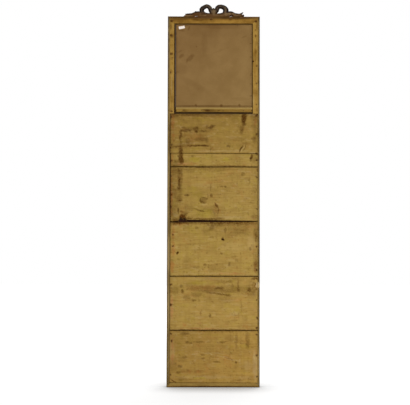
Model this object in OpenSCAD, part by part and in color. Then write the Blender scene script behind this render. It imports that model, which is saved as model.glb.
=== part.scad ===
// Pier mirror: a tall narrow gilt frame with a painted field over a long mirror plate,
// closed at the back by nailed boards and crowned by a carved ribbon bow.
// Millimetres. +X is right as seen from the glass, -Y the front, +Z up.
// The origin is the centre of the base.

/* [Frame] */
// Width over the frame
frame_w = 460; // [400:5:560]
// Height of the frame without the crest
frame_h = 1845; // [1600:5:2100]
// Depth of the wooden base frame
frame_t = 26; // [22:1:36]
// Width of stiles and rails
member_w = 45; // [42:1:60]
// Thickness of the lip in front of the glass
lip_t = 4; // [3:0.5:6]
// Width of the glass rebate
glass_rebate_w = 9; // [6:0.5:12]
// Depth of the glass rebate
glass_rebate_d = 10; // [8:0.5:14]
// Drop of the centre of the mid rail below the top of the frame
field_drop = 481; // [380:1:600]
// Height of the mid rail
mid_rail_h = 70; // [60:1:90]
// Rim beside the boards, right
rim_right = 13; // [8:0.5:22]
// Rim beside the boards, left
rim_left = 8.5; // [6:0.5:22]
// Rim beside the edge strips, right
rim_right_upper = 10.5; // [6:0.5:16]
// Rim beside the edge strips, left
rim_left_upper = 9; // [5:0.5:16]
// Rim over the top edge strip
rim_top = 11; // [6:0.5:16]
// Rim under the boards
rim_bottom = 21; // [12:0.5:26]

/* [Joinery] */
// Length of the stub tenons of the mid rail
tenon_l = 18; // [12:1:24]
// Wood left in front of tenons and keys
cheek_t = 2; // [1.5:0.5:4]
// Depth of the pegs in front of the tenons
peg_tip = 2; // [1:0.5:3]
// Height of the tenons
tenon_h = 38; // [28:1:46]
// Thickness of the tenons
tenon_t = 6; // [5:0.5:8]
// Radius of the pegs through the tenons
peg_r = 3; // [2:0.5:4]
// Height between the two pegs of a tenon
peg_pitch = 18; // [12:1:26]
// Leg of the triangular corner keys
key_leg = 38; // [24:1:44]
// Thickness of the corner keys
key_t = 3; // [2:0.5:4]

/* [Front mouldings] */
// Reach of the outer moulding beyond the inner edge of the frame
moulding_lap = 2; // [0:0.5:4]
// Height of the outer moulding
moulding_t = 14; // [12:0.5:20]
// Radius of the outer round
round_r = 5.5; // [4:0.25:7]
// Flat beside the outer round
fillet_w = 2.5; // [1:0.25:4]
// Radius of the hollow
hollow_r = 14; // [12:0.5:18]
// Distance of the middle of the hollow from the seat
hollow_at = 14; // [11:0.5:18]
// Wood left under the hollow
hollow_floor = 5; // [3:0.5:6]
// Height of the wood outside and inside the hollow
shoulder = [9, 7];
// Thickness of the seat under the beads
seat_t = 3.5; // [2:0.25:5]
// Radius of the half-round beads
bead_r = 3; // [2:0.25:4]
// Thickness of the frieze on the mid rail
frieze_t = 8; // [6:0.5:11]
// Radius of the flutes
flute_r = 4.5; // [3:0.25:6]
// Depth of the flutes
flute_d = 3; // [1:0.25:4]
// Spacing of the flutes
flute_pitch = 15; // [10:0.5:24]
// Number of flutes
flute_n = 19; // [9:2:23]
// Length of the flutes between their round ends
flute_l = 36; // [20:1:44]
// Radius of the two rosettes at the ends of the frieze
rosette_r = 16; // [10:0.5:20]
// Thickness of the rosettes
rosette_t = 2.5; // [1.5:0.25:4]
// Distance of the rosettes from the ends of the frieze
rosette_gap = 2; // [1:0.5:6]

/* [Fields] */
// Thickness of the mirror plate
plate_t = 4; // [3:0.5:6]
// Clearance between plate and rebate wall
plate_gap = 1.5; // [0.5:0.25:2.5]
// Length of the blocks that wedge the plate
block_l = 42; // [30:1:70]
// Places of the side blocks, as parts of the height of the plate
blocks_side = [0.11, 0.32, 0.53, 0.74, 0.92];
// Places of the lower and upper blocks, as part of half the width
block_part = 0.45; // [0.2:0.01:0.8]
// Width of the blocks
block_w = 8; // [6:0.5:9]
// Thickness of the painted panel of the upper field
panel_t = 5; // [4:0.5:6]
// Radius of the wreath on the panel
wreath_r = 98; // [70:1:120]
// Width and height of the stem of the wreath
stem_size = [6, 4];
// Length, width and height of the outer leaves
leaf_out = [30, 12, 5.5];
// Length, width and height of the inner leaves
leaf_in = [26, 11, 4.5];
// Length, width and height of the ribbon ends under the wreath
tie_end = [52, 13, 3.5];
// Radius and height of the knot of the tie
tie_knot = [9, 6];
// Thickness of the backing board
backing_t = 3; // [2:0.5:4]
// Gaps beside the backing board: left, right, top
backing_gap = [1.3, 5, 2];
// Radius of the brads that hold the backing board
brad_r = 0.7; // [0.5:0.1:1]
// Length of the brads
brad_l = 20; // [14:1:26]
// Places of the brads along the bottom and top edges, as parts of half the width
brads_bottom = [-0.68, -0.21, 0.443];
brads_top = [-0.62, 0.119, 0.72];
// Places of the brads along both sides, as parts of the height of the field
brads_side = [0.14, 0.41, 0.67, 0.88];
// Size of the blank paper label
label_size = [30, 13];
// Distance of the centre of the label from the right and top walls
label_inset = [33, 16.5];
// Tilt of the label
label_tilt = 11; // [-30:1:30]
// Thickness of the label
label_t = 0.3; // [0.2:0.1:1]

/* [Back closing] */
// Thickness of the backboards
board_t = 11; // [8:0.5:12]
// Drop of the boards below the centre of the mid rail
board_drop = 8.5; // [4:0.5:16]
// Joints below boards 1 to 4, as parts of the boarded height
joints = [0.8056, 0.6045, 0.4043, 0.2069];
// Split in the uppermost board, as part of the boarded height
split = 0.8543; // [0.83:0.001:0.88]
// Open width of the ordinary joints
joint_gap = 3; // [0.5:0.5:5]
// Half the open width of the shrunken joint below board 2, at its left and right end
wide_gap = [1.5, 6];
// Broken lower edge of board 2 near its right end: from the right end, from the joint
broken_edge = [[-84, 6], [-72, 15], [-61, 13], [-52, 19], [-43, 10], [-38, 1], [-20, -1.5], [0, -2]];
// Open width of the split at its left and right end
split_gap = [1.8, 0.2];
// Gap beside the boards at the right rim, boards 1 to 5
board_side_gap = [0.5, 2.8, 2, 1.4, 0.5];
// Clearance of the boards at the left and bottom rims
board_fit = 0.5; // [0.2:0.1:1]
// Width of the right edge strip
strip_w_right = 21; // [16:0.5:25]
// Width of the left edge strip
strip_w_left = 25.5; // [16:0.5:27]
// Width of the top edge strip
strip_w_top = 22.5; // [16:0.5:25]
// Height of the batten
batten_h = 24; // [18:0.5:30]
// Rise of the lower edge of the batten above the centre of the mid rail
batten_rise = 1; // [-4:0.5:4]
// Bevel along the top of the batten: height and depth
batten_bevel = [10, 6];
// Gaps between the batten and the edge strips, left and right
batten_gap = [3, 10];

/* [Nails] */
// Radius of the nail shanks
nail_r = 1; // [0.7:0.1:1.5]
// Radius of the nail heads
nail_head_r = 2.2; // [1.5:0.1:3]
// Thickness of the nail heads
nail_head_t = 1; // [0.5:0.1:1.5]
// Length of the nails
nail_l = 22; // [18:1:24]
// Nails of the backboards at the left: from the edge of the frame, part of the boarded height
nails_left = [
    [13.5, 0.993], [13.5, 0.926], [13.5, 0.830], [13.5, 0.767], [13.5, 0.649], [13, 0.513], [13, 0.427],
    [15, 0.317], [13, 0.251], [13, 0.216], [13.5, 0.191], [13, 0.116], [14.5, 0.038]
];
// Nails of the backboards at the right: from the edge of the frame, part of the boarded height
nails_right = [
    [18, 0.987], [21, 0.885], [21, 0.826], [21, 0.771], [21, 0.657], [30, 0.555], [28, 0.513],
    [20, 0.373], [20, 0.299], [20.5, 0.193], [23, 0.167], [20, 0.044]
];
// Nails of the left edge strip: from the edge of the frame, part of the length of the strip
strip_nails_left = [[22.5, 0.82], [15.5, 0.501], [17, 0.317], [17, 0.096]];
// Nails of the right edge strip: from the edge of the frame, part of the length of the strip
strip_nails_right = [[20.5, 0.82], [17, 0.629], [14.5, 0.428], [20.5, 0.024]];
// Nails in the corners of the edge strips, left and right: from the edge of the frame, from its top
corner_nails = [[21.5, 22], [20.5, 21.5]];
// Nail of the top edge strip: from the middle, from the top
strip_nail_top = [11, 16];
// Nails of the batten, as parts of half the width
batten_nail_parts = [-0.65, -0.21, 0.26, 0.66];
// Rise of the nails above the lower edge of the batten
batten_nail_rise = 8; // [5:0.5:11]

/* [Crest] */
// Depth of the crest at its base
crest_t = 24; // [18:1:30]
// Height of the base strip of the crest
crest_base_h = 7; // [4:0.5:12]
// Depth of the lugs let into the top rail
lug_t = 4; // [2:0.5:8]
// Depth of the notches below the top edge
lug_h = 9.5; // [6:0.5:10.5]
// Ends of the three lugs along the top rail
lugs_x = [[-153, -131], [-96, -76], [1.5, 104.5]];
// Two slits under the ribbon ends: from, to, height at the back, height at the front
slits = [[80, 95, 2.8, 8.5], [-92, -79, 2.8, 8.5]];
// Depth of the low back part of the slits
slit_back = 8; // [4:1:14]
// Ends of the base strip
crest_base_x = [-137, 148];
// Ends and extra height of the thick middle of the base
crest_core = [-58, 59, 5];
// Share of the depth that the thin ends of the base take
crest_thin = 0.75; // [0.5:0.05:1]
// Radius of the dowels
dowel_r = 3.5; // [2.5:0.5:5]
// Length of the dowels
dowel_l = 20; // [14:1:26]
// Part of the dowels inside the crest
dowel_up = 7; // [5:0.5:10]
// Wood in front of the dowels
dowel_front = 3; // [2:0.5:5]
// Places of the dowels
dowels_x = [-46.5, 3, 45.5];
// Centre line of the upper loops and ribbon ends: across, up, width, depth
loop_right = [
    [9, 20, 22, 26], [16.5, 35, 21, 24], [23, 49, 20.5, 22], [35.5, 54.5, 20, 21], [48.5, 49, 20.5, 20],
    [59, 40, 24, 19], [60, 28, 23, 19], [49.5, 14.5, 19, 20], [32, 9, 19, 22], [12, 8.5, 19, 25]
];
loop_left = [
    [-4.5, 20, 20, 26], [-14, 35, 24, 24], [-20.5, 49.5, 21.5, 22], [-36, 53, 21, 21], [-49, 48.5, 23, 20],
    [-58, 40, 27.5, 19], [-59.5, 28, 29.5, 19], [-48.5, 14.5, 21, 20], [-28, 8.5, 19, 22], [-8, 8, 19, 25]
];
// Corners at the side of the right loop and over its ribbon end: across, up, width, depth
corner_right = [[14, 38, 10, 19], [14.4, 49.5, 10, 19]];
fold_right = [[74, 19.8, 15, 18], [94.5, 19.8, 15, 18]];
end_right = [
    [59, 16, 22, 19], [73, 16, 24, 20], [87, 18.5, 21.5, 22], [99, 14.5, 18.5, 19], [112, 11, 16, 17],
    [128, 10.5, 14.5, 16], [143, 9.5, 12, 14]
];
end_left = [
    [-60.5, 17, 21, 19], [-74.5, 16.5, 23, 20], [-89, 18.5, 20.5, 22], [-102, 13, 17, 19],
    [-116, 10.5, 17, 17], [-130, 9.5, 14.5, 15]
];
prong_upper = [[-128, 11.5, 11, 15], [-137, 15.5, 9.5, 14], [-147, 23, 4, 12]];
prong_lower = [[-130, 7.5, 12, 15], [-143, 6.5, 11, 14], [-152, 8, 9, 12]];
// Low run of the base beyond the right ribbon end
foot_right = [[120, 3, 8, 12], [140, 2.5, 7, 10], [150, 0.5, 5, 9], [159, -1.5, 3, 8]];
// Centre of the knot
knot_at = [2, 23];
// Half sizes of the knot: across, deep, up
knot_size = [12, 15, 18.5];

/* [Hidden] */
eps = 0.5;
slice_t = crest_t / 12;
half_w = frame_w / 2;
y_back = (frame_t + moulding_t) / 2;
y_face = y_back - frame_t;
y_glass = y_face + lip_t;
y_ledge = y_glass + glass_rebate_d;
glass_wall = member_w - glass_rebate_w;
mid_rail_z = frame_h - field_drop;
sight_low = mid_rail_z - mid_rail_h / 2;
sight_high = mid_rail_z + mid_rail_h / 2;
wall_low = sight_low + glass_rebate_w;
wall_high = sight_high - glass_rebate_w;
y_tenon = y_glass + cheek_t;
y_key = y_glass + cheek_t;
board_top = mid_rail_z - board_drop;
joint_z = joints * board_top;
split_z = split * board_top;
batten_z = mid_rail_z + batten_rise;
wall_top = frame_h - glass_wall;
plate_half = half_w - glass_wall;
moulding_w = member_w + moulding_lap;
strip_bottom = board_top + 1.5;
strip_top = frame_h - rim_top;
strip_out_right = half_w - rim_right_upper;
strip_out_left = -half_w + rim_left_upper;
strip_in_right = strip_out_right - strip_w_right;
strip_in_left = strip_out_left + strip_w_left;
strip_in_top = strip_top - strip_w_top;
bead_w = 2 * bead_r;
seat_out = moulding_w - bead_w;
frieze_low = sight_low - (moulding_w - member_w);
frieze_high = sight_high + (moulding_w - member_w);
board_left = -half_w + rim_left + board_fit;
board_right = half_w - rim_right;
y_board = y_ledge + board_t;
panel_z = (wall_high + wall_top) / 2;
board_nails = concat(
    [for (n = nails_left) [n[0] - half_w, n[1] * board_top]],
    [for (n = nails_right) [half_w - n[0], n[1] * board_top]]
);
strip_nails = concat(
    [for (n = strip_nails_left) [n[0] - half_w, strip_bottom + n[1] * (strip_top - strip_bottom)]],
    [for (n = strip_nails_right) [half_w - n[0], strip_bottom + n[1] * (strip_top - strip_bottom)]],
    [[corner_nails[0][0] - half_w, frame_h - corner_nails[0][1]]],
    [[half_w - corner_nails[1][0], frame_h - corner_nails[1][1]]],
    [[strip_nail_top[0], frame_h - strip_nail_top[1]]]
);

wood_back = [0.62, 0.48, 0.25];
wood_rim = [0.46, 0.38, 0.24];
wood_strip = [0.60, 0.45, 0.20];
board_brown = [0.51, 0.40, 0.24];
gilt = [0.78, 0.62, 0.29];
crest_brown = [0.33, 0.25, 0.17];
iron = [0.22, 0.17, 0.13];

// A flat piece with its outline across and up, from depth y0 to y1
module slab(points, y0, y1) {
    translate([0, y1, 0])
        rotate([90, 0, 0])
            linear_extrude(y1 - y0)
                polygon(points);
}

module box(low, high) {
    translate(low)
        cube(high - low);
}

// A nail that points to the front, head flush with depth y
module nail(at, y) {
    translate([at[0], y, at[1]])
        rotate([90, 0, 0])
            rotate_extrude($fn = 32)
                polygon([
                    [0, 0], [nail_head_r, 0], [nail_head_r, nail_head_t], [nail_r, nail_head_t],
                    [nail_r, nail_l - 3], [0, nail_l]
                ]);
}

module nails(places, y) {
    for (at = places)
        nail(at, y);
}

module batten_nail_set() {
    for (part = batten_nail_parts)
        nail([part * half_w, batten_z + batten_nail_rise], y_back);
}

// Triangle outside the mitre line of a corner; side is 1 at the right, -1 at the left
module key(side, z) {
    up = (z > 0) ? -1 : 1;
    slab([
        [side * half_w, z], [side * (half_w - key_leg), z], [side * half_w, z + up * key_leg]
    ], y_key, y_key + key_t);
}

module keys() {
    for (side = [-1, 1])
        for (z = [0, frame_h])
            key(side, z);
}

module corner_keys() {
    color(wood_rim)
        keys();
}

module pegs() {
    for (side = [-1, 1])
        for (step = [-1, 1])
            translate([side * (plate_half + tenon_l / 2), y_ledge, mid_rail_z + step * peg_pitch / 2])
                rotate([90, 0, 0])
                    cylinder(r = peg_r, h = y_ledge - y_tenon + peg_tip, $fn = 32);
}

module joint_pegs() {
    color(wood_rim)
        pegs();
}

// Outline of a stile, mitred at both ends
module stile_blank(side) {
    slab([
        [side * half_w, 0], [side * half_w, frame_h],
        [side * (half_w - member_w), frame_h - member_w], [side * (half_w - member_w), member_w]
    ], y_face, y_back);
}

// Rebates round the glass and the back boards, shared by stiles and rails
module rebates() {
    box([-plate_half, y_glass, glass_wall], [plate_half, y_back + eps, wall_top]);
    box([-half_w + rim_left, y_ledge, rim_bottom], [half_w - rim_right, y_back + eps, strip_bottom]);
    box([strip_out_left, y_ledge, strip_bottom], [strip_out_right, y_back + eps, strip_top]);
}

module lugs() {
    for (span = lugs_x)
        box([span[0], y_back - lug_t, frame_h - lug_h], [span[1], y_back, frame_h + eps]);
}

module tenons() {
    box(
        [-plate_half - tenon_l, y_tenon, mid_rail_z - tenon_h / 2],
        [plate_half + tenon_l, y_tenon + tenon_t, mid_rail_z + tenon_h / 2]
    );
}

module stile(side) {
    difference() {
        stile_blank(side);
        rebates();
        tenons();
        keys();
        pegs();
        nails(board_nails, y_board);
        nails(strip_nails, y_back);
        brads();
    }
}

module stile_left() {
    color(wood_rim)
        stile(-1);
}

module stile_right() {
    color(wood_rim)
        stile(1);
}

module top_rail() {
    color(wood_rim)
        difference() {
            slab([
                [-half_w, frame_h], [half_w, frame_h],
                [half_w - member_w, frame_h - member_w], [-half_w + member_w, frame_h - member_w]
            ], y_face, y_back);
            rebates();
            keys();
            lugs();
            dowels();
            brads();
            nails(strip_nails, y_back);
        }
}

module bottom_rail() {
    color(wood_rim)
        difference() {
            slab([
                [-half_w, 0], [half_w, 0],
                [half_w - member_w, member_w], [-half_w + member_w, member_w]
            ], y_face, y_back);
            rebates();
            keys();
        }
}

module mid_rail() {
    color(wood_back)
        difference() {
            union() {
                box([-half_w + member_w, y_face, sight_low], [half_w - member_w, y_glass, sight_high]);
                box([-plate_half, y_glass, wall_low], [plate_half, y_ledge, wall_high]);
                tenons();
            }
            pegs();
            brads();
            batten_nail_set();
            nails(strip_nails, y_back);
        }
}

// Section of the outer moulding: x runs inwards from the outer edge, y is the height
module moulding_section() {
    difference() {
        union() {
            square([moulding_w, seat_t]);
            square([seat_out, shoulder[1]]);
            square([seat_out - hollow_at, shoulder[0]]);
            square([fillet_w + 2 * round_r, moulding_t - round_r]);
            translate([fillet_w + round_r, moulding_t - round_r])
                circle(r = round_r, $fn = 48);
        }
        translate([seat_out - hollow_at, hollow_r + hollow_floor])
            circle(r = hollow_r, $fn = 64);
    }
}

module bead_section() {
    intersection() {
        translate([bead_r, 0])
            circle(r = bead_r, $fn = 32);
        square([bead_w, bead_r]);
    }
}

// A length along Z with its outer edge at x = 0, mitred inwards at both ends
module mitred(length, width) {
    intersection() {
        rotate([0, 0, 180])
            translate([0, 0, -length / 2])
                linear_extrude(length)
                    children();
        slab([
            [0, -length / 2], [0, length / 2],
            [-width, length / 2 - width], [-width, width - length / 2]
        ], -moulding_t, moulding_t);
    }
}

module moulding_side() {
    translate([half_w, y_face, frame_h / 2])
        mitred(frame_h, moulding_w)
            moulding_section();
}

module moulding_right() {
    color(gilt)
        moulding_side();
}

module moulding_left() {
    color(gilt)
        mirror([1, 0, 0])
            moulding_side();
}

module moulding_top() {
    color(gilt)
        translate([0, y_face, frame_h])
            rotate([0, -90, 0])
                mitred(frame_w, moulding_w)
                    moulding_section();
}

module moulding_bottom() {
    color(gilt)
        translate([0, y_face, 0])
            rotate([0, 90, 0])
                mitred(frame_w, moulding_w)
                    moulding_section();
}

// Bead along the right side of an opening that reaches from low to high
module bead_side(low, high) {
    translate([half_w - seat_out, y_face - seat_t, (low + high) / 2])
        mitred(high - low, bead_w)
            bead_section();
}

module bead_end(z, turn) {
    translate([0, y_face - seat_t, z])
        rotate([0, turn, 0])
            mitred(frame_w - 2 * seat_out, bead_w)
                bead_section();
}

module upper_bead_right() {
    color(gilt)
        bead_side(frieze_high - bead_w, frame_h - seat_out);
}

module upper_bead_left() {
    color(gilt)
        mirror([1, 0, 0])
            bead_side(frieze_high - bead_w, frame_h - seat_out);
}

module upper_bead_top() {
    color(gilt)
        bead_end(frame_h - seat_out, -90);
}

module upper_bead_bottom() {
    color(gilt)
        bead_end(frieze_high - bead_w, 90);
}

module lower_bead_right() {
    color(gilt)
        bead_side(seat_out, frieze_low + bead_w);
}

module lower_bead_left() {
    color(gilt)
        mirror([1, 0, 0])
            bead_side(seat_out, frieze_low + bead_w);
}

module lower_bead_top() {
    color(gilt)
        bead_end(frieze_low + bead_w, -90);
}

module lower_bead_bottom() {
    color(gilt)
        bead_end(seat_out, 90);
}

module flute(x) {
    y = y_face - frieze_t - flute_r + flute_d;
    translate([x, y, mid_rail_z - flute_l / 2])
        cylinder(r = flute_r, h = flute_l, $fn = 32);
    translate([x, y, mid_rail_z - flute_l / 2])
        sphere(r = flute_r, $fn = 32);
    translate([x, y, mid_rail_z + flute_l / 2])
        sphere(r = flute_r, $fn = 32);
}

module fluted_frieze() {
    reach = half_w - moulding_w;
    color(gilt)
        difference() {
            union() {
                box([-reach, y_face - seat_t, frieze_low], [reach, y_face, frieze_high]);
                box([-reach, y_face - frieze_t, frieze_low + bead_w], [reach, y_face, frieze_high - bead_w]);
            }
            for (i = [0 : flute_n - 1])
                flute((i - (flute_n - 1) / 2) * flute_pitch);
        }
}

module frieze_rosettes() {
    reach = half_w - moulding_w - rosette_r - rosette_gap;
    color(gilt)
        for (side = [-1, 1])
            translate([side * reach, y_face - frieze_t, mid_rail_z])
                rotate([90, 0, 0]) {
                    cylinder(r = rosette_r, h = rosette_t, $fn = 48);
                    difference() {
                        sphere(r = rosette_r / 3, $fn = 32);
                        translate([0, 0, -rosette_r])
                            cylinder(r = rosette_r, h = rosette_r, $fn = 48);
                    }
                }
}

module mirror_plate() {
    color([0.75, 0.80, 0.82])
        box(
            [-plate_half + plate_gap, y_glass, glass_wall],
            [plate_half - plate_gap, y_glass + plate_t, wall_low - plate_gap]
        );
}

module block(x, z, length_x, length_z) {
    box([x, y_glass + plate_t, z], [x + length_x, y_ledge, z + length_z]);
}

module glazing_blocks() {
    color(wood_back) {
        for (part = blocks_side) {
            z = glass_wall + part * (wall_low - glass_wall) - block_l / 2;
            block(plate_half - block_w, z, block_w, block_l);
            block(-plate_half, z, block_w, block_l);
        }
        for (side = [-1, 1]) {
            x = side * block_part * plate_half - block_l / 2;
            block(x, glass_wall, block_l, block_w);
            block(x, wall_low - block_w, block_l, block_w);
        }
    }
}

module painted_panel() {
    color([0.62, 0.66, 0.58])
        box(
            [-plate_half + plate_gap / 2, y_glass, wall_high],
            [plate_half - plate_gap / 2, y_glass + panel_t, wall_top - plate_gap / 2]
        );
}

// One laurel leaf that points along +X, its stalk at the origin
module leaf(size) {
    linear_extrude(size[2])
        polygon([
            [0, 0], [size[0] * 0.2, size[1] * 0.33], [size[0] * 0.45, size[1] / 2],
            [size[0] * 0.72, size[1] * 0.36], [size[0], 0], [size[0] * 0.72, -size[1] * 0.36],
            [size[0] * 0.45, -size[1] / 2], [size[0] * 0.2, -size[1] * 0.33]
        ]);
}

// Two branches that part at the tie and meet at the top
module laurel_wreath() {
    color(gilt)
        translate([0, y_glass, panel_z])
            rotate([90, 0, 0]) {
                rotate_extrude($fn = 96)
                    translate([wreath_r - stem_size[0] / 2, 0])
                        square(stem_size);
                for (side = [-1, 1])
                    for (i = [0 : 12])
                        rotate([0, 0, -90 + side * (16 + i * 12.4)]) {
                            translate([wreath_r + stem_size[0] / 3, 0, 0])
                                rotate([0, 0, side * 52])
                                    leaf(leaf_out);
                            translate([wreath_r - stem_size[0] / 3, 0, 0])
                                rotate([0, 0, side * 128])
                                    leaf(leaf_in);
                        }
                translate([0, -wreath_r, 0])
                    cylinder(r = tie_knot[0], h = tie_knot[1], $fn = 32);
                for (side = [-1, 1])
                    translate([side * tie_knot[0] * 0.6, -wreath_r, 0])
                        rotate([0, 0, -90 + side * 34])
                            leaf(tie_end);
            }
}

module backing_board() {
    color(board_brown)
        box(
            [-plate_half + backing_gap[0], y_glass + panel_t, wall_high],
            [plate_half - backing_gap[1], y_glass + panel_t + backing_t, wall_top - backing_gap[2]]
        );
}

// Headless brads that lie on the backing board and run into the frame
module brads() {
    y = y_glass + panel_t + backing_t + brad_r;
    for (part = brads_bottom)
        translate([part * plate_half, y, wall_high - brad_l / 2])
            cylinder(r = brad_r, h = brad_l, $fn = 16);
    for (part = brads_top)
        translate([part * plate_half, y, wall_top - brad_l / 2])
            cylinder(r = brad_r, h = brad_l, $fn = 16);
    for (part = brads_side)
        for (side = [-1, 1])
            translate([side * plate_half - brad_l / 2, y, wall_high + part * (wall_top - wall_high)])
                rotate([0, 90, 0])
                    cylinder(r = brad_r, h = brad_l, $fn = 16);
}

module panel_brads() {
    color(iron)
        brads();
}

module paper_label() {
    y = y_glass + panel_t + backing_t;
    color([0.96, 0.96, 0.94])
        translate([plate_half - label_inset[0], y, wall_top - label_inset[1]])
            rotate([0, label_tilt, 0])
                translate([-label_size[0] / 2, 0, -label_size[1] / 2])
                    cube([label_size[0], label_t, label_size[1]]);
}

module edge_strip_right() {
    color(wood_strip)
        difference() {
            slab([
                [strip_in_right, strip_bottom], [strip_out_right, strip_bottom],
                [strip_out_right, strip_top], [strip_in_right, strip_in_top]
            ], y_ledge, y_back);
            nails(strip_nails, y_back);
        }
}

module edge_strip_left() {
    color(wood_strip)
        difference() {
            slab([
                [strip_in_left, strip_bottom], [strip_in_left, strip_in_top],
                [strip_out_left, strip_top], [strip_out_left, strip_bottom]
            ], y_ledge, y_back);
            nails(strip_nails, y_back);
        }
}

module edge_strip_top() {
    color(wood_strip)
        difference() {
            slab([
                [strip_out_left, strip_top], [strip_in_left, strip_in_top],
                [strip_in_right, strip_in_top], [strip_out_right, strip_top]
            ], y_ledge, y_back);
            nails(strip_nails, y_back);
        }
}

module cross_batten() {
    low = strip_in_left + batten_gap[0];
    high = strip_in_right - batten_gap[1];
    color(wood_strip)
        difference() {
            translate([low, 0, 0])
                rotate([90, 0, 90])
                    linear_extrude(high - low)
                        polygon([
                            [y_ledge, batten_z], [y_back, batten_z],
                            [y_back, batten_z + batten_h - batten_bevel[0]],
                            [y_back - batten_bevel[1], batten_z + batten_h], [y_ledge, batten_z + batten_h]
                        ]);
            batten_nail_set();
        }
}

// A backboard: low and high are its lower and upper edge at the left and right end
module board(low, high, gap) {
    difference() {
        slab([
            [board_left, low[0]], [board_right - gap, low[1]],
            [board_right - gap, high[1]], [board_left, high[0]]
        ], y_ledge, y_board);
        nails(board_nails, y_board);
    }
}

module backboard_1() {
    color(wood_back)
        board([split_z, split_z], [board_top, board_top], board_side_gap[0]);
}

module backboard_1_lower_strip() {
    color(wood_back)
        board([joint_z[0], joint_z[0]], [split_z, split_z] - split_gap, board_side_gap[1]);
}

// The lower edge of this board is broken near its right end
module backboard_2() {
    end = board_right - board_side_gap[1];
    high = joint_z[0] - joint_gap;
    color(wood_back)
        difference() {
            slab(concat(
                [[board_left, high], [board_left, joint_z[1] + wide_gap[0]]],
                [for (at = broken_edge) [end + at[0], joint_z[1] + at[1]]],
                [[end, high]]
            ), y_ledge, y_board);
            nails(board_nails, y_board);
        }
}

module backboard_3() {
    color(wood_back)
        board([joint_z[2], joint_z[2]], [joint_z[1], joint_z[1]] - wide_gap, board_side_gap[2]);
}

module backboard_4() {
    high = joint_z[2] - joint_gap;
    color(wood_back)
        board([joint_z[3], joint_z[3]], [high, high], board_side_gap[3]);
}

module backboard_5() {
    low = rim_bottom + board_fit;
    high = joint_z[3] - joint_gap;
    color(wood_back)
        board([low, low], [high, high], board_side_gap[4]);
}

module backboard_nails() {
    color(iron)
        nails(board_nails, y_board);
}

module edge_strip_nails() {
    color(iron)
        nails(strip_nails, y_back);
}

module batten_nails() {
    color(iron)
        batten_nail_set();
}

module dowels() {
    for (x = dowels_x)
        translate([x, y_back - crest_t + dowel_front + dowel_r, frame_h - dowel_l + dowel_up])
            cylinder(r = dowel_r, h = dowel_l, $fn = 32);
}

module crest_dowels() {
    color(wood_back)
        dowels();
}

// Points of a path with rounded points between them
function mid(a, b, c, d) = (9 * (b + c) - a - d) / 16;
function smooth(path) = let (last = len(path) - 1) [
    for (i = [0 : 2 * last])
        i % 2 == 0 ? path[i / 2] : mid(
            path[max((i - 3) / 2, 0)], path[(i - 1) / 2], path[(i + 1) / 2], path[min((i + 3) / 2, last)]
        )
];

// A thin slice across the ribbon at point i of its path, bevelled to the front
module slice(path, i) {
    last = len(path) - 1;
    run = path[min(i + 1, last)] - path[max(i - 1, 0)];
    w = path[i][2] / 2;
    d = path[i][3];
    translate([path[i][0], y_back, frame_h + path[i][1]])
        rotate([0, atan2(run[0], run[1]), 0])
            linear_extrude(slice_t)
                polygon([
                    [-w, 0], [w, 0], [w, -d * 0.6], [w * 0.62, -d * 0.94], [0, -d],
                    [-w * 0.62, -d * 0.94], [-w, -d * 0.6]
                ]);
}

module ribbon(points) {
    path = smooth(points);
    for (i = [0 : len(path) - 2])
        hull() {
            slice(path, i);
            slice(path, i + 1);
        }
}

module bow() {
    ribbon(loop_right);
    ribbon(loop_left);
    ribbon(end_right);
    ribbon(end_left);
    ribbon(corner_right);
    ribbon(fold_right);
    ribbon(prong_upper);
    ribbon(prong_lower);
    ribbon(foot_right);
    translate([knot_at[0], y_back - knot_size[1] / 2, frame_h + knot_at[1]])
        scale(knot_size)
            sphere(r = 1, $fn = 24);
    box(
        [crest_base_x[0], y_back - crest_t * crest_thin, frame_h],
        [crest_base_x[1], y_back, frame_h + crest_base_h]
    );
    box(
        [crest_core[0], y_back - crest_t, frame_h],
        [crest_core[1], y_back, frame_h + crest_base_h + crest_core[2]]
    );
}

module crest() {
    color(crest_brown)
        difference() {
            union() {
                difference() {
                    bow();
                    box([-half_w, -y_back, frame_h - member_w], [half_w, y_back + crest_t, frame_h]);
                }
                lugs();
            }
            box([-half_w, y_back, frame_h - member_w], [half_w, y_back + crest_t, frame_h + half_w]);
            for (slit = slits) {
                box([slit[0], y_back - 2 * crest_t, frame_h], [slit[1], y_back + eps, frame_h + slit[2]]);
                box([slit[0], y_back - 2 * crest_t, frame_h], [slit[1], y_back - slit_back, frame_h + slit[3]]);
            }
            dowels();
        }
}

stile_left();
stile_right();
top_rail();
mid_rail();
bottom_rail();
corner_keys();
joint_pegs();
moulding_left();
moulding_right();
moulding_top();
moulding_bottom();
upper_bead_left();
upper_bead_right();
upper_bead_top();
upper_bead_bottom();
lower_bead_left();
lower_bead_right();
lower_bead_top();
lower_bead_bottom();
fluted_frieze();
frieze_rosettes();
mirror_plate();
glazing_blocks();
painted_panel();
laurel_wreath();
backing_board();
panel_brads();
paper_label();
edge_strip_left();
edge_strip_right();
edge_strip_top();
cross_batten();
backboard_1();
backboard_1_lower_strip();
backboard_2();
backboard_3();
backboard_4();
backboard_5();
backboard_nails();
edge_strip_nails();
batten_nails();
crest();
crest_dowels();
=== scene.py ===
"""Looks of the pier mirror: aged backboards, gilt front and carved bow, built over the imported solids."""
import math
import random

import bpy
import numpy as np
from mathutils import Matrix, Vector, noise


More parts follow.
